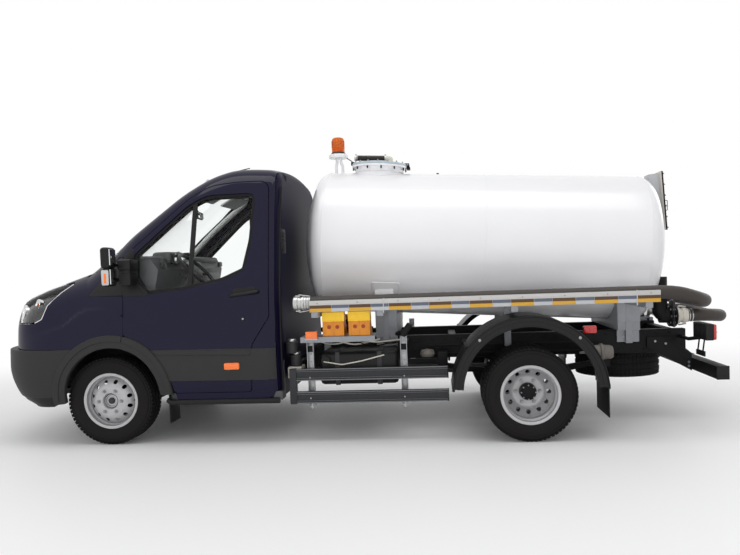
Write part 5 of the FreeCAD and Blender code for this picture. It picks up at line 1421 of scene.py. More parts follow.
def nuts_on(build, middle, out, reach, count=6, pitch=0.09, size=0.0125):
    nut = Build()
    spot = Vector(middle) + Vector((pitch, out * reach, 0))
    nut.lathe([(0, 0), (0, size + 0.004), (0.002, size + 0.004), (0.003, size), (0.016, size),
        (0.018, size - 0.002), (0.018, 0.007), (0.024, 0.0065), (0.025, 0)], spot, (0, out, 0), "nut_steel", 6)
    ring_of(build, nut, "nut_steel", count, middle, ACROSS)


DISC_BORE, DISC_RADIUS, DISC_THICK = 0.056, 0.192, 0.006
HOLE_PITCH = 0.15
FRONT_PROFILE = [(0.055, 0.07), (0.065, 0.09), (0.1, 0.092), (0.115, 0.09), (0.135, 0.08), (0.155, 0.062),
    (0.172, 0.04), (0.185, 0.02), (0.192, 0.005)]
REAR_PROFILE = [(0.055, -0.104), (0.1, -0.104), (0.115, -0.101), (0.135, -0.086), (0.155, -0.066),
    (0.172, -0.048), (0.185, -0.03), (0.192, -0.022)]


def front_wheels(side, word):
    body = f"front_{word}_wheel"
    middle = tuple(centre(f"front_{word}_tyre"))
    tyre = Build()
    tyre_on(tyre, middle, side)
    tyre.stand_for(f"front_{word}_tyre", "tyre_rubber", body, 30)
    rim = Build()
    barrel_on(rim, middle)
    rim.add(*dish(middle, side, FRONT_PROFILE, DISC_BORE, DISC_RADIUS, [(12, HOLE_PITCH, 0.0155, 15)],
        DISC_THICK), "wheel_silver")
    nuts_on(rim, middle, side, 0.092)
    hub = Vector(middle)
    rim.lathe([(0.0, 0), (0.0, 0.053), (0.066, 0.053), (0.074, 0.05), (0.076, 0.044), (0.062, 0.038),
        (0.06, 0)], hub, (0, side, 0), "wheel_silver", 48)
    rim.lathe([(0.055, 0), (0.055, 0.026), (0.072, 0.024), (0.078, 0.016), (0.079, 0)], hub, (0, side, 0),
        "cast_metal", 32)
    valve = hub + Vector((0.176, side * 0.04, 0))
    rim.rod(valve, (0.2, side, 0), 0.004, 0.03, "black_rubber", 10)
    rim.stand_for(f"front_{word}_rim", "wheel_silver", body, 30)
    knuckle = Build()
    hub_in = Vector((middle[0], side * 0.795, middle[2]))
    knuckle.lathe([(-0.016, 0), (-0.016, 0.05), (-0.012, 0.06), (-0.012, 0.125), (0.0, 0.125), (0.0, 0.05),
        (0.012, 0.048), (0.012, 0)], hub_in, (0, side, 0), "cast_metal", 48)
    knuckle.slab(side, middle[0] + 0.085, middle[0] + 0.15, 0.768, 0.805, middle[2] - 0.055, middle[2] + 0.075,
        "cast_metal", 0.012)
    knuckle.finish(f"{word}_brake", f"{word}_knuckle")
    softened(f"{word}_knuckle", "cast_metal", 0.004, f"{word}_knuckle")


def rear_wheels(side, word):
    body = f"rear_{word}_wheels"
    whole = centre(f"rear_{word}_tyres")
    tyre, rim = Build(), Build()
    for shift, facing in ((0.11, 1), (-0.11, -1)):
        middle = (whole.x, whole.y + side * shift, whole.z)
        tyre_on(tyre, middle, side)
        barrel_on(rim, middle)
        rim.add(*dish(middle, side * facing, REAR_PROFILE, DISC_BORE, DISC_RADIUS,
            [(12, HOLE_PITCH, 0.0165, 0)], DISC_THICK), "wheel_silver")
        if facing > 0:
            nuts_on(rim, middle, side, -0.104)
            hub = Vector(middle)
            rim.lathe([(-0.11, 0), (-0.11, 0.063), (-0.045, 0.061), (-0.032, 0.055), (-0.028, 0.045),
                (-0.026, 0)], hub, (0, side, 0), "black_paint", 40)
            bolt = Build()
            bolt.rod(hub + Vector((0.052, -side * 0.04, 0)), (0, side, 0), 0.006, 0.012, "nut_steel", 6)
            ring_of(rim, bolt, "nut_steel", 8, middle, ACROSS)
    tyre.stand_for(f"rear_{word}_tyres", "tyre_rubber", body, 30)
    rim.stand_for(f"rear_{word}_rims", "wheel_silver", body, 30)


both_sides(front_wheels, rear_wheels)

for node, paint, width in (
        ("rear_axle", "black_paint", 0.006),
        ("leaf_springs", "black_paint", 0.003),
        ("front_axle", "black_paint", 0.006),
        ("engine", "cast_metal", 0.012),
        ("propshaft", "cast_metal", 0.002),
        ("frame_rails", "black_paint", 0.006),
        ("exhaust", "cast_metal", 0.004),
        ("fuel_tank", "black_plastic", 0.03),
        ("tank_supports", "support_grey", 0.001),
        ("chock_shelf", "support_grey", 0.002),
        ("underrun_bar", "black_paint", 0.006),
        ("cross_members", "black_paint", 0.004)):
    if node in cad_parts:
        softened(node, paint, width)


# ---------------------------------------------------------------- tank and what stands on it

TANK_LOW, TANK_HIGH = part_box("tank")
SLOPE = math.radians(3.4)
TANK_LONG = 2.98
MANHOLE_ALONG = 0.612
TANK_RADIUS = 0.6
TANK_NOSE = Vector(((TANK_LOW.x + TANK_HIGH.x) / 2 - math.cos(SLOPE) * TANK_LONG / 2, 0, 1.547))
TANK_FRAME = Matrix.Translation(TANK_NOSE) @ Matrix.Rotation(SLOPE, 4, "Y")
TANK_WAY = TANK_FRAME.to_3x3() @ Vector((1, 0, 0))
TANK_UP = TANK_FRAME.to_3x3() @ Vector((0, 0, 1))


def on_tank(along, y, up):
    """A point given in the tank's own sloping frame."""
    return TANK_FRAME @ Vector((along, y, up))


def tank_profile():
    """Half of the dished end: a crown and a knuckle, then the barrel."""
    knuckle, depth, radius = 0.12, 0.22, TANK_RADIUS
    crown = ((radius - knuckle) ** 2 + depth ** 2 - knuckle ** 2) / (2 * (depth - knuckle))
    lean = math.asin((radius - knuckle) / (crown - knuckle))
    front = [(crown - crown * math.cos(a), crown * math.sin(a)) for a in np.linspace(0, lean, 16)]
    turn = math.pi / 2 - lean
    front += [(depth - knuckle * math.cos(lean + t), radius - knuckle + knuckle * math.sin(lean + t))
        for t in np.linspace(0, turn, 10)[1:]]
    return front


def tank_shell():
    front = tank_profile()
    body = [(a, radius) for a, radius in front]
    body += [(a, TANK_RADIUS) for a in np.linspace(front[-1][0], TANK_LONG - front[-1][0], 20)[1:-1]]
    body += [(TANK_LONG - a, radius) for a, radius in reversed(front)]
    verts, faces = turned(body, TANK_NOSE, TANK_WAY, 128)
    solid = piece("tank_turned", verts, faces, "white_paint", None)
    hole = piece("tank_hole", *turned([(0, 0), (0, 0.195), (0.6, 0.195), (0.6, 0)],
        on_tank(MANHOLE_ALONG, 0, 0.34), TANK_UP, 64), "white_paint", None)
    cut = solid.modifiers.new("manhole", "BOOLEAN")
    cut.operation = "DIFFERENCE"
    cut.object = hole
    cut.solver = "EXACT"
    bpy.context.view_layer.update()
    mesh = bpy.data.meshes.new_from_object(solid.evaluated_get(bpy.context.evaluated_depsgraph_get()))
    build = Build()
    build.add_mesh(mesh, "white_paint")
    for thing in (solid, hole):
        bpy.data.objects.remove(thing)
    for along, wide in ((0.205, 0.004), (1.51, 0.005), (2.772, 0.004)):
        bead = [(-wide, TANK_RADIUS - 0.003), (-wide * 0.6, TANK_RADIUS + 0.0014), (0, TANK_RADIUS + 0.002),
            (wide * 0.6, TANK_RADIUS + 0.0014), (wide, TANK_RADIUS - 0.003), (-wide, TANK_RADIUS - 0.003)]
        build.lathe(bead, on_tank(along, 0, 0), TANK_WAY, "white_paint", 128)
    build.tube([on_tank(0.22, 0.1, 0.593), on_tank(0.62, 0.3, 0.52)], 0.0012, "white_paint", 6)
    lug = on_tank(1.115, 0, TANK_RADIUS - 0.004)
    build.rod(lug, TANK_UP, 0.011, 0.018, "black_paint", 16)
    wire = [(0.615, -0.4, -0.45), (0.615, -0.535, -0.33), (0.835, -0.535, -0.33), (0.835, -0.43, -0.45)]
    build.tube([on_tank(*p) for p in wire], 0.005, "white_paint", 8, 0.02)
    case = on_tank(0.635, -0.47, -0.45)
    build.box(case, case + Vector((0.155, 0.1, 0.062)), "white_paint", 0.006)
    build.stand_for("tank", "white_paint", smooth=32)


def manhole():
    neck = Build()
    base, top = TANK_RADIUS - 0.05, TANK_RADIUS + 0.062
    spot = on_tank(MANHOLE_ALONG, 0, 0)
    neck.lathe([(0.36, 0.1935), (0.36, 0.2095), (top - 0.016, 0.2095), (top - 0.016, 0.238),
        (top - 0.014, 0.24), (top - 0.002, 0.24), (top, 0.238), (top, 0.1935), (0.36, 0.1935)], spot, TANK_UP,
        "white_paint", 72)
    neck.lathe([(base + 0.045, 0.2085), (base + 0.05, 0.216), (base + 0.058, 0.2095), (base + 0.045, 0.2085)],
        spot, TANK_UP, "white_paint", 72)
    hinge = on_tank(MANHOLE_ALONG + 0.236, -0.045, top - 0.024)
    neck.box(hinge, hinge + Vector((0.03, 0.09, 0.022)), "black_paint", 0.004)
    lug = Build()
    lug.rod(on_tank(MANHOLE_ALONG - 0.226, -0.03, top - 0.04), TANK_UP, 0.006, 0.022, "black_paint", 10)
    ring_of(neck, lug, "black_paint", 12, spot, TANK_UP)
    neck.stand_for("manhole_neck", "white_paint")
    floor = top + 0.0008
    lid = Build()
    lid.lathe([(floor, 0), (floor, 0.238), (floor + 0.002, 0.24), (floor + 0.014, 0.24), (floor + 0.016, 0.238),
        (floor + 0.016, 0.196), (floor + 0.026, 0.186), (floor + 0.034, 0.15), (floor + 0.04, 0.06),
        (floor + 0.041, 0)], spot, TANK_UP, "lid_blue", 72)
    bolt = Build()
    place = on_tank(MANHOLE_ALONG - 0.218, 0.0, floor + 0.016)
    bolt.rod(place, TANK_UP, 0.0095, 0.008, "nut_steel", 6)
    bolt.rod(place + TANK_UP * 0.008, TANK_UP, 0.005, 0.01, "nut_steel", 10)
    ring_of(lid, bolt, "nut_steel", 16, spot, TANK_UP)
    for side in (-1, 1):
        lid.box(on_tank(MANHOLE_ALONG - 0.244, side * 0.05 - 0.008, floor - 0.0),
            on_tank(MANHOLE_ALONG - 0.244, side * 0.05 - 0.008, floor) + Vector((0.03, 0.016, 0.03)),
            "black_paint", 0.003)
    swing = on_tank(MANHOLE_ALONG + 0.222, -0.045, floor + 0.002)
    lid.box(swing, swing + Vector((0.036, 0.09, 0.024)), "black_paint", 0.004)
    lid.rod(on_tank(MANHOLE_ALONG + 0.244, -0.055, floor + 0.014), ACROSS, 0.007, 0.11, "nut_steel", 14)
    lid.stand_for("manhole_lid", "lid_blue", "manhole_lid")
    pipe_up = floor + 0.028 + 0.044
    air = Build()
    start, end = on_tank(MANHOLE_ALONG - 0.215, 0, pipe_up), on_tank(MANHOLE_ALONG + 0.055, 0, pipe_up)
    air.tube([start, end], 0.021, "hose_rubber", 20)
    rib = Build()
    rib.lathe([(0, 0.02), (0.0025, 0.0262), (0.0055, 0.0262), (0.008, 0.02), (0, 0.02)],
        start + TANK_WAY * 0.01, TANK_WAY, "hose_rubber", 24)
    repeated(air, rib, "hose_rubber", 25, step=TANK_WAY * 0.0102)
    for along in (0.0, 0.256):
        air.rod(start + TANK_WAY * along, TANK_WAY, 0.0272, 0.014, "alloy", 28, 0.002)
        air.box(start + TANK_WAY * along + Vector((0, -0.01, 0.022)), start + TANK_WAY * along + Vector((0.014,
            0.01, 0.036)), "alloy", 0.002)
    air.tube([start - TANK_WAY * 0.006, start + TANK_WAY * 0.02], 0.023, "alloy", 20)
    elbow = [end - TANK_WAY * 0.01, end + TANK_WAY * 0.035, on_tank(MANHOLE_ALONG + 0.092, 0, pipe_up - 0.028),
        on_tank(MANHOLE_ALONG + 0.092, 0, floor + 0.034)]
    air.tube(elbow, 0.0225, "cream_plastic", 20, 0.03)
    air.rod(on_tank(MANHOLE_ALONG + 0.092, 0, floor + 0.0335), TANK_UP, 0.036, 0.01, "cream_plastic", 28, 0.002)
    air.finish("air_hose_finished", "manhole_lid", 40, "mirror_plastic", ("lid_pipe",))


def beacon():
    low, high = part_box("beacon")
    x, base = (low.x + high.x) / 2, 2.26
    lamp = Build()
    for shift in (-0.022, 0.034):
        lamp.tube([(x + shift, 0, 2.125), (x + shift, 0, 2.19), (x + shift * 0.6, 0, 2.225),
            (x + shift * 0.6, 0, base + 0.005)], 0.0125, "white_paint", 16, 0.03)
    place = Vector((x, 0, base))
    lamp.lathe([(0, 0), (0, 0.076), (0.004, 0.081), (0.028, 0.082), (0.034, 0.076), (0.036, 0)], place, UPWARD,
        "white_paint", 48)
    lamp.lathe([(0.036, 0), (0.036, 0.064), (0.044, 0.062), (0.052, 0.056), (0.056, 0)], place, UPWARD,
        "black_plastic", 48)
    lamp.lathe([(0.052, 0), (0.052, 0.056), (0.09, 0.0555), (0.092, 0.0585), (0.096, 0.0585), (0.098, 0.0555),
        (0.15, 0.054), (0.168, 0.05), (0.177, 0.04), (0.18, 0.022), (0.18, 0)], place, UPWARD, "amber_lens", 48)
    rib = Build()
    rib.rod(place + Vector((0.0545, 0, 0.1)), UPWARD, 0.0022, 0.05, "amber_lens", 8, 0.001)
    ring_of(lamp, rib, "amber_lens", 24, place, UPWARD)
    lamp.rod(place + Vector((0, 0, 0.058)), UPWARD, 0.02, 0.06, "chrome", 20)
    lamp.lathe([(0.06, 0.0), (0.06, 0.044), (0.088, 0.046), (0.09, 0.0)], place, UPWARD, "lamp_orange", 32)
    lamp.stand_for("beacon", "amber_lens")
    cable = Build()
    cable.tube([(x + 0.06, 0.01, base + 0.01), (x + 0.12, 0.02, base - 0.03), (x + 0.14, 0.03, 2.15)], 0.004,
        "black_rubber", 8, 0.04)
    cable.finish("beacon_cable")


def sight_strip():
    low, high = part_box("sight_window")
    lean = math.atan2(0.032, 0.496)
    build = Build()
    turn = Matrix.Rotation(-lean, 4, "Y")
    out = (turn @ Vector((1, 0, 0, 0))).to_3d()
    middle = Vector(((low.x + high.x) / 2 + 0.085, 0, (low.z + high.z) / 2))
    length = 0.487

    for x0, x1, half, cut, paint, bevel in (
            (-0.01, 0.006, 0.105, 0.0, "black_paint", 0.004),
            (0.006, 0.012, 0.045, 0.03, "lamp_red", 0.003),
            (0.011, 0.017, 0.055, 0.05, "clear_glass", 0.002),
            (-0.1, -0.01, 0.068, 0.012, "marker_grey", 0.006),
            (-0.014, -0.01, 0.11, 0.0, "cream_plastic", 0.001)):
        low_end, high_end = Vector((x0, -half, cut - length / 2)), Vector((x1, half, length / 2 - cut))
        build.box(middle + low_end, middle + high_end, paint, bevel, turn, middle)
    bolt = Build()
    first = middle + turn.to_3x3() @ Vector((0.006, -0.092, -length / 2 + 0.02))
    bolt.rod(first, out, 0.008, 0.01, "nut_steel", 6)
    bolt.rod(first + Vector((0, 0.184, 0)), out, 0.008, 0.01, "nut_steel", 6)
    repeated(build, bolt, "nut_steel", 6, step=turn.to_3x3() @ Vector((0, 0, 0.0892)))
    build.tube([(high.x - 0.002, -0.11, high.z - 0.25), (high.x + 0.012, -0.11, high.z - 0.25),
        (high.x + 0.012, -0.11, high.z - 0.33), (high.x - 0.002, -0.11, high.z - 0.33)], 0.003, "black_paint",
        8, 0.005)
    build.finish("sight_strip_finished", "chassis", 35, "grey_steel", ("sight_window",))


tank_shell()
manhole()
beacon()
sight_strip()


# ---------------------------------------------------------------- trays, hoses, guards and rear end


def arc_sheet(build, section_points, angles, middle, side, paint):
    """Sweeps a closed section of (across, radius) round an axis along Y; angles are up from the rear."""
    verts, faces = [], []
    n = len(section_points)
    for a in np.radians(angles):
        verts += [Vector((middle[0] + r * math.cos(a), side * y, middle[2] + r * math.sin(a))) for y,
            r in section_points]
    for i in range(len(angles) - 1):
        for k in range(n):
            j = (k + 1) % n
            faces.append((i * n + k, (i + 1) * n + k, (i + 1) * n + j, i * n + j))
    last = (len(angles) - 1) * n
    faces += [tuple(range(n)), tuple(reversed(range(last, last + n)))]
    area = sum(a[0] * b[1] - b[0] * a[1] for a, b in zip(section_points,
        section_points[1:] + section_points[:1]))
    if (area > 0) == (side > 0):
        faces = [tuple(reversed(f)) for f in faces]
    build.add(verts, faces, paint)


TRAY_LOW, TRAY_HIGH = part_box("hose_trays")
GUARD_LOW, GUARD_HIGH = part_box("side_guards")
FRAME_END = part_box("frame_rails")[1].x
TANK_END = TANK_NOSE.x + TANK_LONG * math.cos(SLOPE)
OUTLET = Vector((TANK_END - 0.11, -0.4, 0.835))
FRAME_SIDE = 0.437
MUDGUARD_RADIUS = 0.559
HUB_HEIGHT = 0.355


def tray(side, word):
    start, end = TRAY_LOW.x, TRAY_HIGH.x
    outer, inner = TRAY_HIGH.y, TRAY_HIGH.y - 0.164
    base = TRAY_LOW.z + 0.009
    build = Build()

    build.slab(side, start, end, inner, outer - 0.004, base, base + 0.006, "support_grey", 0.0015)
    build.slab(side, start, end, inner, inner + 0.006, base, base + 0.05, "support_grey", 0.0015)
    build.slab(side, start, end, outer - 0.006, outer - 0.002, base - 0.009, base + 0.072, "tray_white", 0.0015)
    build.slab(side, start, end, outer - 0.012, outer, base + 0.042, base + 0.076, "tray_white", 0.003)
    long, short = 0.164, 0.1295
    period = long + short
    # each marker block's upper half, under the tray's lip, takes a darker copy of its colour: painted shade
    for paint, shade, first, length, count in (("marker_yellow", "marker_yellow_painted_shade", start, long, 9),
            ("marker_grey", "marker_grey_painted_shade", start + long, short, 8)):
        for tone, z0, z1 in ((paint, base - 0.008, base + 0.018), (shade, base + 0.018, base + 0.041)):
            block = Build()
            low, high = sorted((side * (outer - 0.004), side * (outer - 0.0005)))
            block.box((first + 0.001, low, z0), (first + length - 0.001, high, z1), tone, 0.0008, segments=1)
            repeated(build, block, tone, count, step=(period, 0, 0))
    for x in (start + 0.545, end - 0.165):
        build.slab(side, x, x + 0.006, outer - 0.016, outer + 0.003, base - 0.03, base + 0.08, "tray_white",
            0.0015)
    bolt = Build()
    bolt.rod((start + 0.06, side * (outer - 0.001), base + 0.058), (0, side, 0), 0.006, 0.004, "nut_steel", 10)
    repeated(build, bolt, "nut_steel", 9, step=(0.298, 0, 0))
    build.finish(f"{word}_tray_finished", "chassis", 35, "white_paint", ("hose_trays",) if side < 0 else ())


def hose_run(name, corners, radius, node):
    """A worn rubber hose along a mirrored route, with scuffs left by its finish."""
    left = [Vector((x, -y, z)) for x, y, z in corners]
    right = [Vector((x, y, z)) for x, y, z in reversed(corners) if y > 0]
    smooth = rounded_path(left + right, 5.0, 14)
    fine = [smooth[0]]
    for a, b in zip(smooth, smooth[1:]):
        parts = max(1, int((b - a).length / 0.06))
        fine += [a.lerp(b, (i + 1) / parts) for i in range(parts)]
    rng = np.random.default_rng(11)
    radii = radius * (1 + 0.012 * rng.standard_normal(len(fine)).clip(-1, 1))
    build = Build()
    verts, faces = pipe(fine, radii, 28)
    build.add(verts, faces, "hose_rubber")
    build.finish(name, "chassis", 60, "hose_rubber", (node,))


def hoses():
    tray_y = (TRAY_LOW.y * -1 - 0.082)
    tray_z = TRAY_LOW.z + 0.009 + 0.006 + 0.0505
    hose_run("tray_hose_finished", [(TRAY_LOW.x - 0.002, tray_y, tray_z), (TANK_END - 0.165, tray_y, tray_z),
        (TANK_END + 0.06, tray_y - 0.075, tray_z - 0.07), (TANK_END + 0.17, tray_y - 0.395, tray_z - 0.096),
        (TANK_END + 0.19, 0, tray_z - 0.1)], 0.049, "tray_hose")
    out_x, out_z = OUTLET.x + 0.209, OUTLET.z
    hose_run("outlet_hose_finished", [(out_x, 0.4, out_z), (out_x + 0.15, 0.4, out_z),
        (out_x + 0.305, 0.31, out_z - 0.016), (TANK_END + 0.4, 0, out_z - 0.034)], 0.049, "outlet_hose")
    build = Build()
    for side in (-1, 1):
        spot = Vector((TRAY_LOW.x - 0.128, side * tray_y, tray_z))
        build.lathe([(0.0, 0.042), (0.0, 0.054), (0.004, 0.056), (0.03, 0.056), (0.034, 0.05), (0.044, 0.047),
            (0.056, 0.047), (0.06, 0.054), (0.066, 0.0555), (0.078, 0.0555), (0.082, 0.051), (0.126, 0.05),
            (0.126, 0.04), (0.08, 0.04), (0.08, 0.042), (0.0, 0.042)], spot, ALONG, "alloy", 48)
        build.rod(spot + Vector((0.078, 0, 0)), ALONG, 0.04, 0.004, "black_rubber", 40, 0.001)
        for up in (-1, 1):
            lever = spot + Vector((0.022, 0, up * 0.055))
            build.box(lever + Vector((-0.01, -0.012, -0.006)), lever + Vector((0.026, 0.012, 0.006)), "alloy",
                0.003)
            build.tube([lever + Vector((0.01, 0.014 * side, up * 0.002)), lever + Vector((0.02, 0.016 * side,
                up * 0.01)), lever + Vector((0.1, 0.016 * side, up * -0.002))], 0.004, "alloy", 8, 0.01)
        for along in (0.094, 0.112):
            build.rod(spot + Vector((along, 0, 0)), ALONG, 0.0525, 0.008, "nut_steel", 36, 0.001)
    park = Vector((OUTLET.x + 0.118, -OUTLET.y, OUTLET.z))
    build.lathe([(0, 0), (0, 0.06), (0.01, 0.064), (0.03, 0.064), (0.036, 0.05), (0.06, 0.05), (0.064, 0.058),
        (0.09, 0.058), (0.09, 0)], park, ALONG, "alloy", 40)
    build.box(park + Vector((0, -0.03, -0.1)), park + Vector((0.03, 0.03, -0.05)), "support_grey", 0.004)
    build.box(park + Vector((-0.078, -0.03, -0.1)), park + Vector((0.06, 0.03, -0.07)), "support_grey", 0.004)
    build.stand_for("hose_couplings", "alloy_coupling")
    outlet = Build()
    x, y, z = OUTLET
    drop = [(x, y, 1.145), (x, y, z + 0.02), (x + 0.075, y, z)]
    outlet.tube(drop, 0.058, "black_paint", 32, 0.06)
    outlet.lathe([(-0.004, 0.0), (-0.004, 0.055), (0.05, 0.057), (0.07, 0.057), (0.072, 0)], (x, y, z), ALONG,
        "black_paint", 40)
    for shift in (0.07, 0.104):
        outlet.rod((x + shift, y, z), ALONG, 0.086, 0.014, "black_paint", 48, 0.002)
        bolt = Build()
        bolt.rod((x + shift - 0.006, y, z + 0.072), ALONG, 0.008, 0.026, "nut_steel", 6)
        ring_of(outlet, bolt, "nut_steel", 8, (x, y, z), ALONG)
    outlet.box((x + 0.086, y - 0.056, z - 0.088), (x + 0.104, y + 0.056, z + 0.12), "cast_metal", 0.006)
    outlet.rod((x + 0.095, y, z + 0.12), UPWARD, 0.009, 0.1, "nut_steel", 14)
    outlet.tube([(x + 0.095, y - 0.05, z + 0.205), (x + 0.095, y + 0.05, z + 0.205)], 0.009, "black_plastic",
        12)
    outlet.lathe([(0.0, 0), (0.0, 0.062), (0.03, 0.062), (0.034, 0.052), (0.046, 0.05), (0.05, 0.058),
        (0.058, 0.06), (0.074, 0.06), (0.08, 0.055), (0.09, 0.054), (0.09, 0)], (x + 0.118, y, z), ALONG,
        "cream_plastic", 48)
    for up in (-1, 1):
        outlet.tube([(x + 0.135, y, z + up * 0.06), (x + 0.145, y, z + up * 0.074),
            (x + 0.2, y, z + up * 0.066)], 0.006, "alloy", 8, 0.01)
    for shift in (0.214, 0.236):
        outlet.rod((x + shift, y, z), ALONG, 0.0515, 0.009, "alloy", 40, 0.001)
    outlet.stand_for("outlet_valve", "mirror_plastic")


def guard(side, word):
    face, back = GUARD_HIGH.y - 0.004, GUARD_HIGH.y - 0.044
    start, end = GUARD_LOW.x, GUARD_HIGH.x
    build = Build()

    for low in (0.468, 0.296):
        build.slab(side, start + 0.04, end, back, face - 0.004, low, low + 0.088, "guard_metal")
        for shift, tall in ((0.0, 0.008), (0.018, 0.003), (0.068, 0.003), (0.08, 0.008)):
            build.slab(side, start + 0.04, end + 0.001, face - 0.006, face, low + shift, low + shift + tall,
                "guard_edge", 0.0015)
        build.slab(side, end - 0.006, end + 0.002, back - 0.002, face, low - 0.002, low + 0.09, "black_plastic")
    build.slab(side, start, start + 0.055, back - 0.002, face + 0.003, 0.292, 0.56, "guard_metal", 0.006)
    for i, x in enumerate((TANK_NOSE.x + 0.118, TANK_NOSE.x + 0.825)):
        build.slab(side, x, x + 0.05, back - 0.045, back - 0.041, 0.262, 0.778, "galvanised", 0.001)
        build.slab(side, x, x + 0.004, back - 0.045, back - 0.006, 0.262, 0.778, "galvanised", 0.001)
        build.slab(side, x + 0.046, x + 0.05, back - 0.045, back - 0.006, 0.262, 0.778, "galvanised", 0.001)
        build.slab(side, x + 0.002, x + 0.048, FRAME_SIDE, back - 0.02, 0.677, 0.722, "black_paint", 0.003)
        for low in (0.49, 0.335):
            build.rod((x + 0.025, side * (face - 0.006), low), (0, side, 0), 0.007, 0.007, "nut_steel", 6)
        for z in (0.6, 0.66, 0.745):
            build.rod((x + 0.025, side * (back - 0.042), z), (0, side, 0), 0.007, 0.008, "nut_steel", 6)
        build.rod((x + 0.025, side * (back - 0.02), 0.25), UPWARD, 0.01, 0.045, "galvanised", 6)
    build.finish(f"{word}_guard_finished", "chassis", 35, "galvanised", ("side_guards",) if side < 0 else ())
    lamp_set = Build()
    x = TANK_NOSE.x + 0.141
    lamp_set.slab(side, x - 0.022, x + 0.068, face - 0.045, face + 0.002, 0.782, 0.838, "lamp_orange", 0.008)
    lamp_set.slab(side, x - 0.026, x + 0.072, face - 0.045, face + 0.002, 0.772, 0.784, "galvanised", 0.003)
    lamp_set.slab(side, 1.682, 1.773, face - 0.055, face - 0.008, 0.768, 0.822, "lamp_red", 0.008)
    for i in range(3):
        lamp_set.rod((1.7 + 0.028 * i, side * (face - 0.009), 0.795), (0, side, 0), 0.01, 0.004, "lamp_red", 18)
    lamp_set.slab(side, 1.71, 1.745, 0.8, face - 0.05, 0.786, 0.802, "black_paint", 0.003)
    lamp_set.finish(f"{word}_side_lamps")


def mudguard(side, word):
    middle = (REAR_HUB.x, 0, HUB_HEIGHT)
    outer = MUDGUARD_RADIUS
    build = Build()
    section_points = [(0.622, outer), (1.045, outer), (1.058, outer - 0.006), (1.063, outer - 0.02),
        (1.063, outer - 0.08), (1.056, outer - 0.08), (1.056, outer - 0.022), (1.05, outer - 0.012),
        (1.042, outer - 0.008), (0.622, outer - 0.008)]
    arc = np.linspace(4, 176, 60)
    arc_sheet(build, section_points, arc, middle, side, "black_plastic")
    for radius in (outer - 0.004, outer - 0.04, outer - 0.074):
        rib = [(1.058, radius - 0.005), (1.066, radius - 0.003), (1.066, radius + 0.003),
            (1.058, radius + 0.005)]
        arc_sheet(build, rib, arc, middle, side, "black_plastic")
    for y in (0.68, 0.84, 1.0):
        rib = [(y - 0.012, outer - 0.002), (y + 0.012, outer - 0.002), (y + 0.008, outer + 0.0008),
            (y - 0.008, outer + 0.0008)]
        arc_sheet(build, rib, arc, middle, side, "black_plastic")
    x = REAR_HUB.x + outer
    build.slab(side, x - 0.012, x - 0.004, 0.66, 1.045, 0.168, 0.4, "black_rubber", 0.003)
    build.slab(side, x - 0.018, x + 0.002, 0.65, 1.055, 0.375, 0.412, "black_plastic", 0.005)
    build.slab(side, REAR_HUB.x - outer - 0.002, REAR_HUB.x - outer + 0.018, 0.65, 1.055, 0.375, 0.412,
        "black_plastic", 0.005)
    for shift in (0.448, -0.448):
        build.slab(side, REAR_HUB.x + shift - 0.02, REAR_HUB.x + shift + 0.02, FRAME_SIDE, 0.68, 0.676, 0.704,
            "black_paint", 0.004)
        build.tube([(REAR_HUB.x + shift, side * 0.66, 0.69), (REAR_HUB.x + shift, side * 1.03, 0.69)], 0.011,
            "black_paint", 12)
    for a in (48, 132):
        t = math.radians(a)
        spot = Vector((REAR_HUB.x + (outer - 0.03) * math.cos(t), side * 1.06,
            HUB_HEIGHT + (outer - 0.03) * math.sin(t)))
        build.rod(spot, (0, side, 0), 0.011, 0.008, "nut_steel", 12)
    build.finish(f"{word}_mudguard_finished", "chassis", 40, "black_paint",
        ("rear_mudguards",) if side < 0 else ())


def supports():
    bolts = Build()
    for x, count_low in ((TANK_NOSE.x + 0.61, 2), (TANK_END - 0.455, 2)):
        for side in (-1, 1):
            bolts.slab(side, x - 0.001, x + 0.171, FRAME_SIDE, 0.449, 0.64, 0.802, "support_grey", 0.003)
            for i in range(3):
                bolts.rod((x + 0.03 + 0.055 * i, side * 0.449, 0.765), (0, side, 0), 0.011, 0.01, "nut_steel",
                    6)
            for i in range(count_low):
                bolts.rod((x + 0.05 + 0.065 * i, side * 0.449, 0.685), (0, side, 0), 0.011, 0.01, "nut_steel",
                    6)
            bolts.slab(side, x - 0.002, x + 0.172, 0.477, 0.484, 0.8, 1.05, "support_grey", 0.003)
    bolts.finish("support_plates")
    rivets = Build()
    for side in (-1, 1):
        for z in (0.575, 0.708):
            rivet = Build()
            rivet.rod((-0.1, side * 0.435, z), (0, side, 0), 0.008, 0.006, "black_paint", 10)
            repeated(rivets, rivet, "black_paint", 27, step=(0.098, 0, 0), scatter=0.0008, seed=3)
        for x, radius in ((0.45, 0.022), (0.62, 0.016), (2.3, 0.02), (2.42, 0.014)):
            rivets.rod((x, side * 0.4352, 0.64), (0, side, 0), radius, 0.002, "black_rubber", 20, 0.0005)
        for z in (0.585, 0.65):
            rivets.rod((0.55, side * 0.436, z), ALONG, 0.007, 1.2, "black_rubber", 8)
    rivets.finish("frame_rivets")


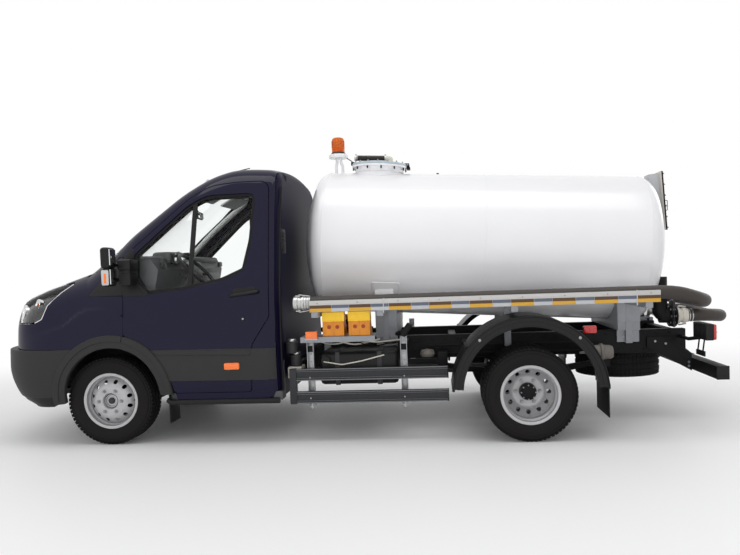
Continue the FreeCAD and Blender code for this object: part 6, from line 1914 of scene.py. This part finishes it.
def chocks():
    low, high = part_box("wheel_chocks")
    build = Build()
    for start in (low.x, high.x - 0.166):
        front = low.y
        split = low.z + 0.115
        profile = [(0.003, 0.0), (0.0, 0.004), (0.0, 0.181), (0.006, 0.185), (0.066, 0.185), (0.072, 0.18),
            (0.193, 0.004), (0.19, 0.0)]
        # the lower part of each chock, below the ledge, takes the darker copy of the yellow: painted shade
        for z0, z1, paint in ((0.0, split - low.z, "chock_painted_shade"), (split - low.z, 0.185, "yellow_plastic")):
            cut = []
            for (ya, za), (yb, zb) in zip(profile, profile[1:] + profile[:1]):
                if z0 <= za <= z1:
                    cut.append((ya, za))
                for level in (z0, z1):
                    if (za < level < zb) or (zb < level < za):
                        t = (level - za) / (zb - za)
                        cut.append((ya + (yb - ya) * t, level))
            middle = (sum(p[0] for p in cut) / len(cut), sum(p[1] for p in cut) / len(cut))
            cut.sort(key=lambda p: math.atan2(p[1] - middle[1], p[0] - middle[0]))
            inset = 0.0 if paint == "yellow_plastic" else 0.003
            verts = [(x, front + y, low.z + z) for x in (start + inset, start + 0.166 - inset) for y, z in cut]
            n = len(cut)
            faces = [tuple(reversed(range(n))), tuple(range(n, 2 * n))]
            faces += [(i, (i + 1) % n, n + (i + 1) % n, n + i) for i in range(n)]
            build.add(verts, faces, paint)
        # two dark discs on the flat face stand for recessed holes: painted shade
        for i in range(2):
            spot = Vector((start + 0.052 + 0.062 * i, front - 0.0008, low.z + 0.07))
            build.add(*turned([(0, 0), (0.0, 0.013), (0.002, 0.015), (0.002, 0)], spot, (0, -1, 0), 20),
                "chock_hole")
        for i in range(3):
            x = start + 0.012 + 0.066 * i
            build.box((x, front - 0.002, low.z + 0.004), (x + 0.01, front + 0.004, split), "chock_painted_shade", 0.002)
        build.box((start - 0.001, front - 0.002, split - 0.004), (start + 0.167, front + 0.012, split + 0.006),
            "yellow_plastic", 0.003)
        for i in range(6):
            t = i / 6
            build.box((start + 0.006, front + 0.082 + 0.105 * t, low.z + 0.16 - 0.15 * t),
                (start + 0.16, front + 0.092 + 0.105 * t, low.z + 0.172 - 0.15 * t), "yellow_plastic", 0.003)
        build.tube([(start + 0.05, front + 0.03, low.z + 0.183), (start + 0.055, front + 0.03, low.z + 0.192),
            (start + 0.11, front + 0.03, low.z + 0.192), (start + 0.115, front + 0.03, low.z + 0.183)], 0.004,
            "black_rubber", 8, 0.006)
    build.stand_for("wheel_chocks", "yellow_plastic")


def spare_wheel():
    low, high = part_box("spare_wheel")
    middle = Vector(((low.x + high.x) / 2, 0, 0.432))
    flat = Matrix.Translation(middle) @ Matrix.Rotation(math.radians(90), 4, "X")
    raw = Build()
    tyre_on(raw, (0, 0, 0), 1)
    barrel_on(raw, (0, 0, 0))
    raw.add(*dish((0, 0, 0), 1, REAR_PROFILE, 0.05, DISC_RADIUS, [(12, HOLE_PITCH, 0.0165, 0)], DISC_THICK),
        "wheel_silver")
    build = Build()
    build.verts = [tuple(flat @ Vector(v)) for v in raw.verts]
    build.faces, build.paints, build.names = raw.faces, raw.paints, raw.names
    build.rod(middle - Vector((0, 0, 0.0)), UPWARD, 0.014, 0.2, "galvanised", 16)
    build.rod(middle - Vector((0, 0, 0.02)), UPWARD, 0.125, 0.012, "black_paint", 32)
    build.box((middle.x - 0.03, -0.365, 0.606), (middle.x + 0.03, 0.365, 0.654), "black_paint", 0.004)
    build.stand_for("spare_wheel", "tyre_rubber", smooth=30)


def rear_end():
    build = Build()
    for side in (-1, 1):
        low, high = sorted((side * 0.7, side * 0.958))
        x = FRAME_END
        build.box((x - 0.038, low, 0.692), (x + 0.021, high, 0.811), "black_plastic", 0.008)
        build.box((x + 0.018, low + 0.002, 0.696), (x + 0.0375, high - 0.002, 0.807), "lamp_red", 0.006)
        for i in range(4):
            y0 = low + 0.01 + 0.06 * i
            build.box((x + 0.034, y0, 0.704), (x + 0.0405, y0 + 0.052, 0.799),
                "lamp_orange" if (i == (0 if side < 0 else 3)) else "lamp_red", 0.004)
        build.box((x + 0.036, low + 0.004, 0.75), (x + 0.0415, high - 0.004, 0.754), "black_plastic", 0.001)
        arm = [(x - 0.045, side * 0.436, 0.675), (x - 0.045, side * 0.62, 0.672), (x - 0.02, side * 0.8, 0.7)]
        build.tube(arm, 0.014, "black_paint", 12, 0.05)
        hang = [(x + 0.01, side * 0.8, 0.695), (x + 0.0, side * 0.79, 0.595), (x + 0.0, side * 0.69, 0.595),
            (x + 0.01, side * 0.7, 0.695)]
        build.tube(hang, 0.006, "black_paint", 8, 0.01)
        build.slab(side, x - 0.006, x + 0.008, 0.665, 0.825, 0.56, 0.6, "black_plastic", 0.004)
        chamber = Vector((1.815, side * 0.6, 0.583))
        build.lathe([(0, 0), (0, 0.048), (0.008, 0.056), (0.05, 0.058), (0.058, 0.068), (0.074, 0.068),
            (0.082, 0.058), (0.13, 0.054), (0.15, 0.046), (0.156, 0)], chamber, ALONG, "chamber_grey", 32)
        build.tube([chamber - Vector((0.1, 0, 0)), chamber], 0.009, "nut_steel", 12)
        build.box(chamber + Vector((0.03, min(0, -side * 0.17), -0.02)), chamber + Vector((0.06,
            max(0, -side * 0.17), 0.02)), "black_paint", 0.003)
    build.stand_for("tail_lamps", "red_lens")
    under = Build()
    for y0, y1 in ((-0.951, -0.94), (0.94, 0.951)):
        under.box((FRAME_END + 0.036, y0, 0.408), (FRAME_END + 0.126, y1, 0.508), "black_plastic", 0.006)
    for side in (-1, 1):
        for dx, z in ((-0.24, 0.64), (-0.16, 0.62), (0.015, 0.47), (0.015, 0.44)):
            under.rod((FRAME_END + dx, side * 0.448, z), (0, side, 0), 0.01, 0.01, "nut_steel", 6)
        under.box((FRAME_END + 0.036, side * 0.39 - 0.03, 0.404), (FRAME_END + 0.046, side * 0.39 + 0.03, 0.54),
            "black_paint", 0.003)
        for y in (0.6, 0.8):
            under.rod((FRAME_END + 0.123, side * y, 0.458), ALONG, 0.026, 0.006, "lamp_red", 24)
    under.box((FRAME_END + 0.121, -0.26, 0.4), (FRAME_END + 0.126, 0.26, 0.51), "cream_plastic", 0.003)
    under.finish("underrun_details")


def under_deck():
    build = Build()
    low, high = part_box("fuel_tank")
    for x in (low.x + 0.12, high.x - 0.16):
        build.box((x, low.y - 0.003, low.z - 0.003), (x + 0.035, high.y - 0.01, high.z + 0.003), "cast_metal",
            0.003)
    build.rod((low.x + 0.05, low.y - 0.001, high.z - 0.06), (0, -1, 0), 0.035, 0.02, "black_plastic", 24)
    pump_low, pump_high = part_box("vacuum_pump")
    middle = Vector((pump_low.x, (pump_low.y + pump_high.y) / 2, 0.56))
    pump = Build()
    pump.lathe([(0, 0), (0, 0.055), (0.035, 0.058), (0.04, 0.118), (0.05, 0.123), (0.37, 0.123), (0.38, 0.118),
        (0.385, 0.058), (0.42, 0.055), (0.42, 0)], middle, ALONG, "cast_metal", 48)
    fin = Build()
    fin.lathe([(0.06, 0.12), (0.06, 0.1245), (0.066, 0.1245), (0.066, 0.12), (0.06, 0.12)], middle, ALONG,
        "cast_metal", 48)
    repeated(pump, fin, "cast_metal", 15, step=(0.02, 0, 0))
    bolt = Build()
    bolt.rod(middle + Vector((0.028, 0.1, 0)), ALONG, 0.007, 0.016, "nut_steel", 6)
    ring_of(pump, bolt, "nut_steel", 8, middle, ALONG)
    pump.box((pump_low.x + 0.1, 0.436, 0.427), (pump_low.x + 0.3, 0.69, 0.464), "black_paint", 0.005)
    pump.tube([middle + Vector((0.15, 0, 0.11)), middle + Vector((0.15, 0, 0.17)),
        middle + Vector((0.1, -0.12, 0.19)), Vector((middle.x + 0.06, 0.37, 0.8))], 0.03, "hose_rubber", 16,
        0.06)
    pump.stand_for("vacuum_pump", "cast_metal")
    rng = np.random.default_rng(5)
    for i in range(9):
        y = -0.47 - 0.04 * rng.random()
        x0, x1 = -0.4 + 0.05 * i, -0.05 + 0.07 * i
        z = 0.7 + 0.03 * rng.random()
        sag = 0.02 + 0.035 * rng.random()
        build.tube([(x0, y, z), ((x0 + x1) / 2, y - 0.03, z - sag), (x1, y, z - 0.01)],
            0.004 + 0.003 * rng.random(), "black_rubber" if i % 3 else "cream_plastic", 8, 0.2)
    for x, z, size in ((-0.5, 0.66, 0.05), (-0.47, 0.56, 0.045)):
        build.rod((x, -0.8, z), UPWARD, size, 0.09, "cast_metal", 24, 0.006)
        build.rod((x, -0.8, z + 0.09), UPWARD, size * 0.7, 0.02, "alloy", 24, 0.004)
    build.box((-0.53, -0.86, 0.47), (-0.42, -0.7, 0.56), "cream_plastic", 0.01)
    build.box((-0.52, -0.82, 0.56), (-0.45, -0.44, 0.58), "black_paint", 0.004)
    build.tube([(-0.24, -0.9, 0.6), (-0.1, -0.905, 0.575), (0.05, -0.9, 0.6), (0.22, -0.89, 0.64)], 0.005,
        "cream_plastic", 8, 0.1)
    build.lathe([(0, 0), (0, 0.05), (0.02, 0.06), (0.05, 0.05), (0.06, 0)], (0.54, -0.56, 0.58), UPWARD,
        "chamber_grey", 24)
    build.tube([(0.3, -0.5, 0.76), (0.36, -0.7, 0.8), (0.37, -0.88, 0.79)], 0.016, "black_rubber", 12, 0.05)
    build.rod((0.365, -0.93, 0.79), (0.6, -0.2, 0.8), 0.024, 0.1, "black_rubber", 20)
    build.tube([(-0.33, -0.4, 0.8), (-0.2, -0.42, 0.82), (0.1, -0.43, 0.8)], 0.02, "black_rubber", 12, 0.08)
    build.finish("under_deck_parts")


both_sides(tray, guard, mudguard)
hoses()
supports()
chocks()
spare_wheel()
rear_end()
under_deck()

# node: finish
NODE_FINISH = {
    "navy_paint": ("left_door", "right_door", "bonnet", "cab_shell", "front_wings"),
    "white_paint": ("tank", "manhole_neck", "hose_trays"),
    "lid_blue": ("manhole_lid",),
    "black_plastic": ("lid_pipe", "outlet_valve", "left_mirror", "right_mirror", "grille", "dashboard",
        "steering_wheel", "cab_floor", "fuel_tank", "rear_mudguards"),
    "hose_rubber": ("tray_hose", "outlet_hose"),
    "alloy": ("hose_couplings",),
    "support_grey": ("tank_supports", "chock_shelf", "sight_window"),
    "guard_metal": ("side_guards",),
    "tyre_rubber": ("front_left_tyre", "front_right_tyre", "rear_left_tyres", "rear_right_tyres",
        "spare_wheel"),
    "wheel_silver": ("front_left_rim", "front_right_rim", "rear_left_rims", "rear_right_rims"),
    "dark_plastic": ("front_bumper",),
    "clear_glass": ("left_door_glass", "right_door_glass", "windscreen"),
    "lamp_lens": ("headlamps",),
    "lamp_red": ("tail_lamps",),
    "amber_lens": ("beacon",),
    "seat_fabric": ("seats",),
    "yellow_plastic": ("wheel_chocks",),
    "cast_metal": ("engine", "left_knuckle", "right_knuckle", "front_axle", "rear_axle", "vacuum_pump",
        "propshaft", "exhaust"),
    "black_paint": ("frame_rails", "cross_members", "leaf_springs", "underrun_bar"),
}
for finish, names in NODE_FINISH.items():
    for name in names:
        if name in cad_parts:
            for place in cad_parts[name].material_slots:
                place.material = PAINT[finish]


# ---------------------------------------------------------------- stage, light and camera

ROOM_LIGHT = 0.55
FLOOR_HALF = 40.0
FLOOR_POOL = (9.0, 6.0)


def seen_directly(tree):
    """1 where a surface is seen by the camera, in a reflection or through glass."""
    path = add_node(tree, "ShaderNodeLightPath").outputs
    largest = path["Is Camera Ray"]
    for ray in ("Is Glossy Ray", "Is Transmission Ray"):
        largest = add_node(tree, "ShaderNodeMath", {0: largest, 1: path[ray]}, operation="MAXIMUM").outputs[0]
    return largest


def stage():
    """A pale floor that turns to plain white outside an oval pool round the vehicle."""
    mesh = bpy.data.meshes.new("floor")
    corners = ((-1, -1), (1, -1), (1, 1), (-1, 1))
    mesh.from_pydata([(x * FLOOR_HALF, y * FLOOR_HALF, 0) for x, y in corners], [], [(0, 1, 2, 3)])
    floor = bpy.data.objects.new("floor", mesh)
    bpy.context.scene.collection.objects.link(floor)
    material = shader("pale_floor", (0.93, 0.93, 0.935), 0.55)
    tree = material.node_tree
    place = add_node(tree, "ShaderNodeTexCoord").outputs["Object"]
    oval = add_node(tree, "ShaderNodeMapping", {"Vector": place, "Scale": (1 / FLOOR_POOL[0], 1 / FLOOR_POOL[1],
        1)})
    reach = add_node(tree, "ShaderNodeVectorMath", {0: oval.outputs["Vector"]}, operation="LENGTH")
    fade = add_node(tree, "ShaderNodeMapRange", {"Value": reach.outputs["Value"], "From Min": 0.35,
        "From Max": 1.0}, interpolation_type="SMOOTHSTEP")
    share = add_node(tree, "ShaderNodeMath", {0: fade.outputs["Result"], 1: seen_directly(tree)},
        operation="MULTIPLY")
    white = add_node(tree, "ShaderNodeEmission").outputs["Emission"]
    mix = add_node(tree, "ShaderNodeMixShader", {"Fac": share.outputs[0],
        1: tree.nodes["Principled BSDF"].outputs["BSDF"], 2: white})
    tree.links.new(mix.outputs["Shader"], tree.nodes["Material Output"].inputs["Surface"])
    mesh.materials.append(material)


def lamp(name, place, aim, size, power):
    light = bpy.data.lights.new(name, "AREA")
    light.shape = "RECTANGLE"
    light.size, light.size_y = size
    light.energy = power
    thing = bpy.data.objects.new(name, light)
    thing.location = place
    thing.rotation_euler = (Vector(aim) - Vector(place)).to_track_quat("-Z", "Y").to_euler()
    thing.visible_glossy = name in ("overhead", "rear_fill")
    bpy.context.scene.collection.objects.link(thing)


def light_and_camera():
    scene = bpy.context.scene
    world = bpy.data.worlds.new("studio")
    world.use_nodes = True
    tree = world.node_tree
    background = tree.nodes["Background"]
    background.inputs["Color"].default_value = (1, 1, 1, 1)
    level = add_node(tree, "ShaderNodeMapRange", {"Value": seen_directly(tree), "To Min": ROOM_LIGHT,
        "To Max": 1.0})
    tree.links.new(level.outputs["Result"], background.inputs["Strength"])
    scene.world = world
    lamp("overhead", (0, -1.5, 6.5), (0, 0, 0.5), (8, 3), 150)
    lamp("front_fill", (-6.5, -5.5, 3.2), (-1.5, 0, 1.0), (2.5, 2.5), 60)
    lamp("side_fill", (0.5, -8.0, 1.2), (0.3, 0, 0.9), (9, 2), 195)
    lamp("rear_fill", (7, 4, 4), (1, 0, 1.0), (3, 3), 70)
    camera = bpy.data.cameras.new("camera")
    camera.sensor_width = 36.0
    camera.lens = 34.26
    camera.shift_x = -0.0039
    camera.shift_y = 0.0318
    thing = bpy.data.objects.new("camera", camera)
    yaw, pitch, roll = 0.091, -0.047, -0.036
    ahead = Vector((-math.sin(yaw) * math.cos(pitch), math.cos(yaw) * math.cos(pitch), math.sin(pitch)))
    turn = ahead.to_track_quat("-Z", "Y").to_matrix() @ Matrix.Rotation(roll, 3, "Z")
    thing.matrix_world = Matrix.Translation(Vector((AXLE_X + 2.54, -6.156, 1.297))) @ turn.to_4x4()
    scene.collection.objects.link(thing)
    scene.camera = thing
    scene.view_settings.view_transform = "Standard"


stage()
light_and_camera()
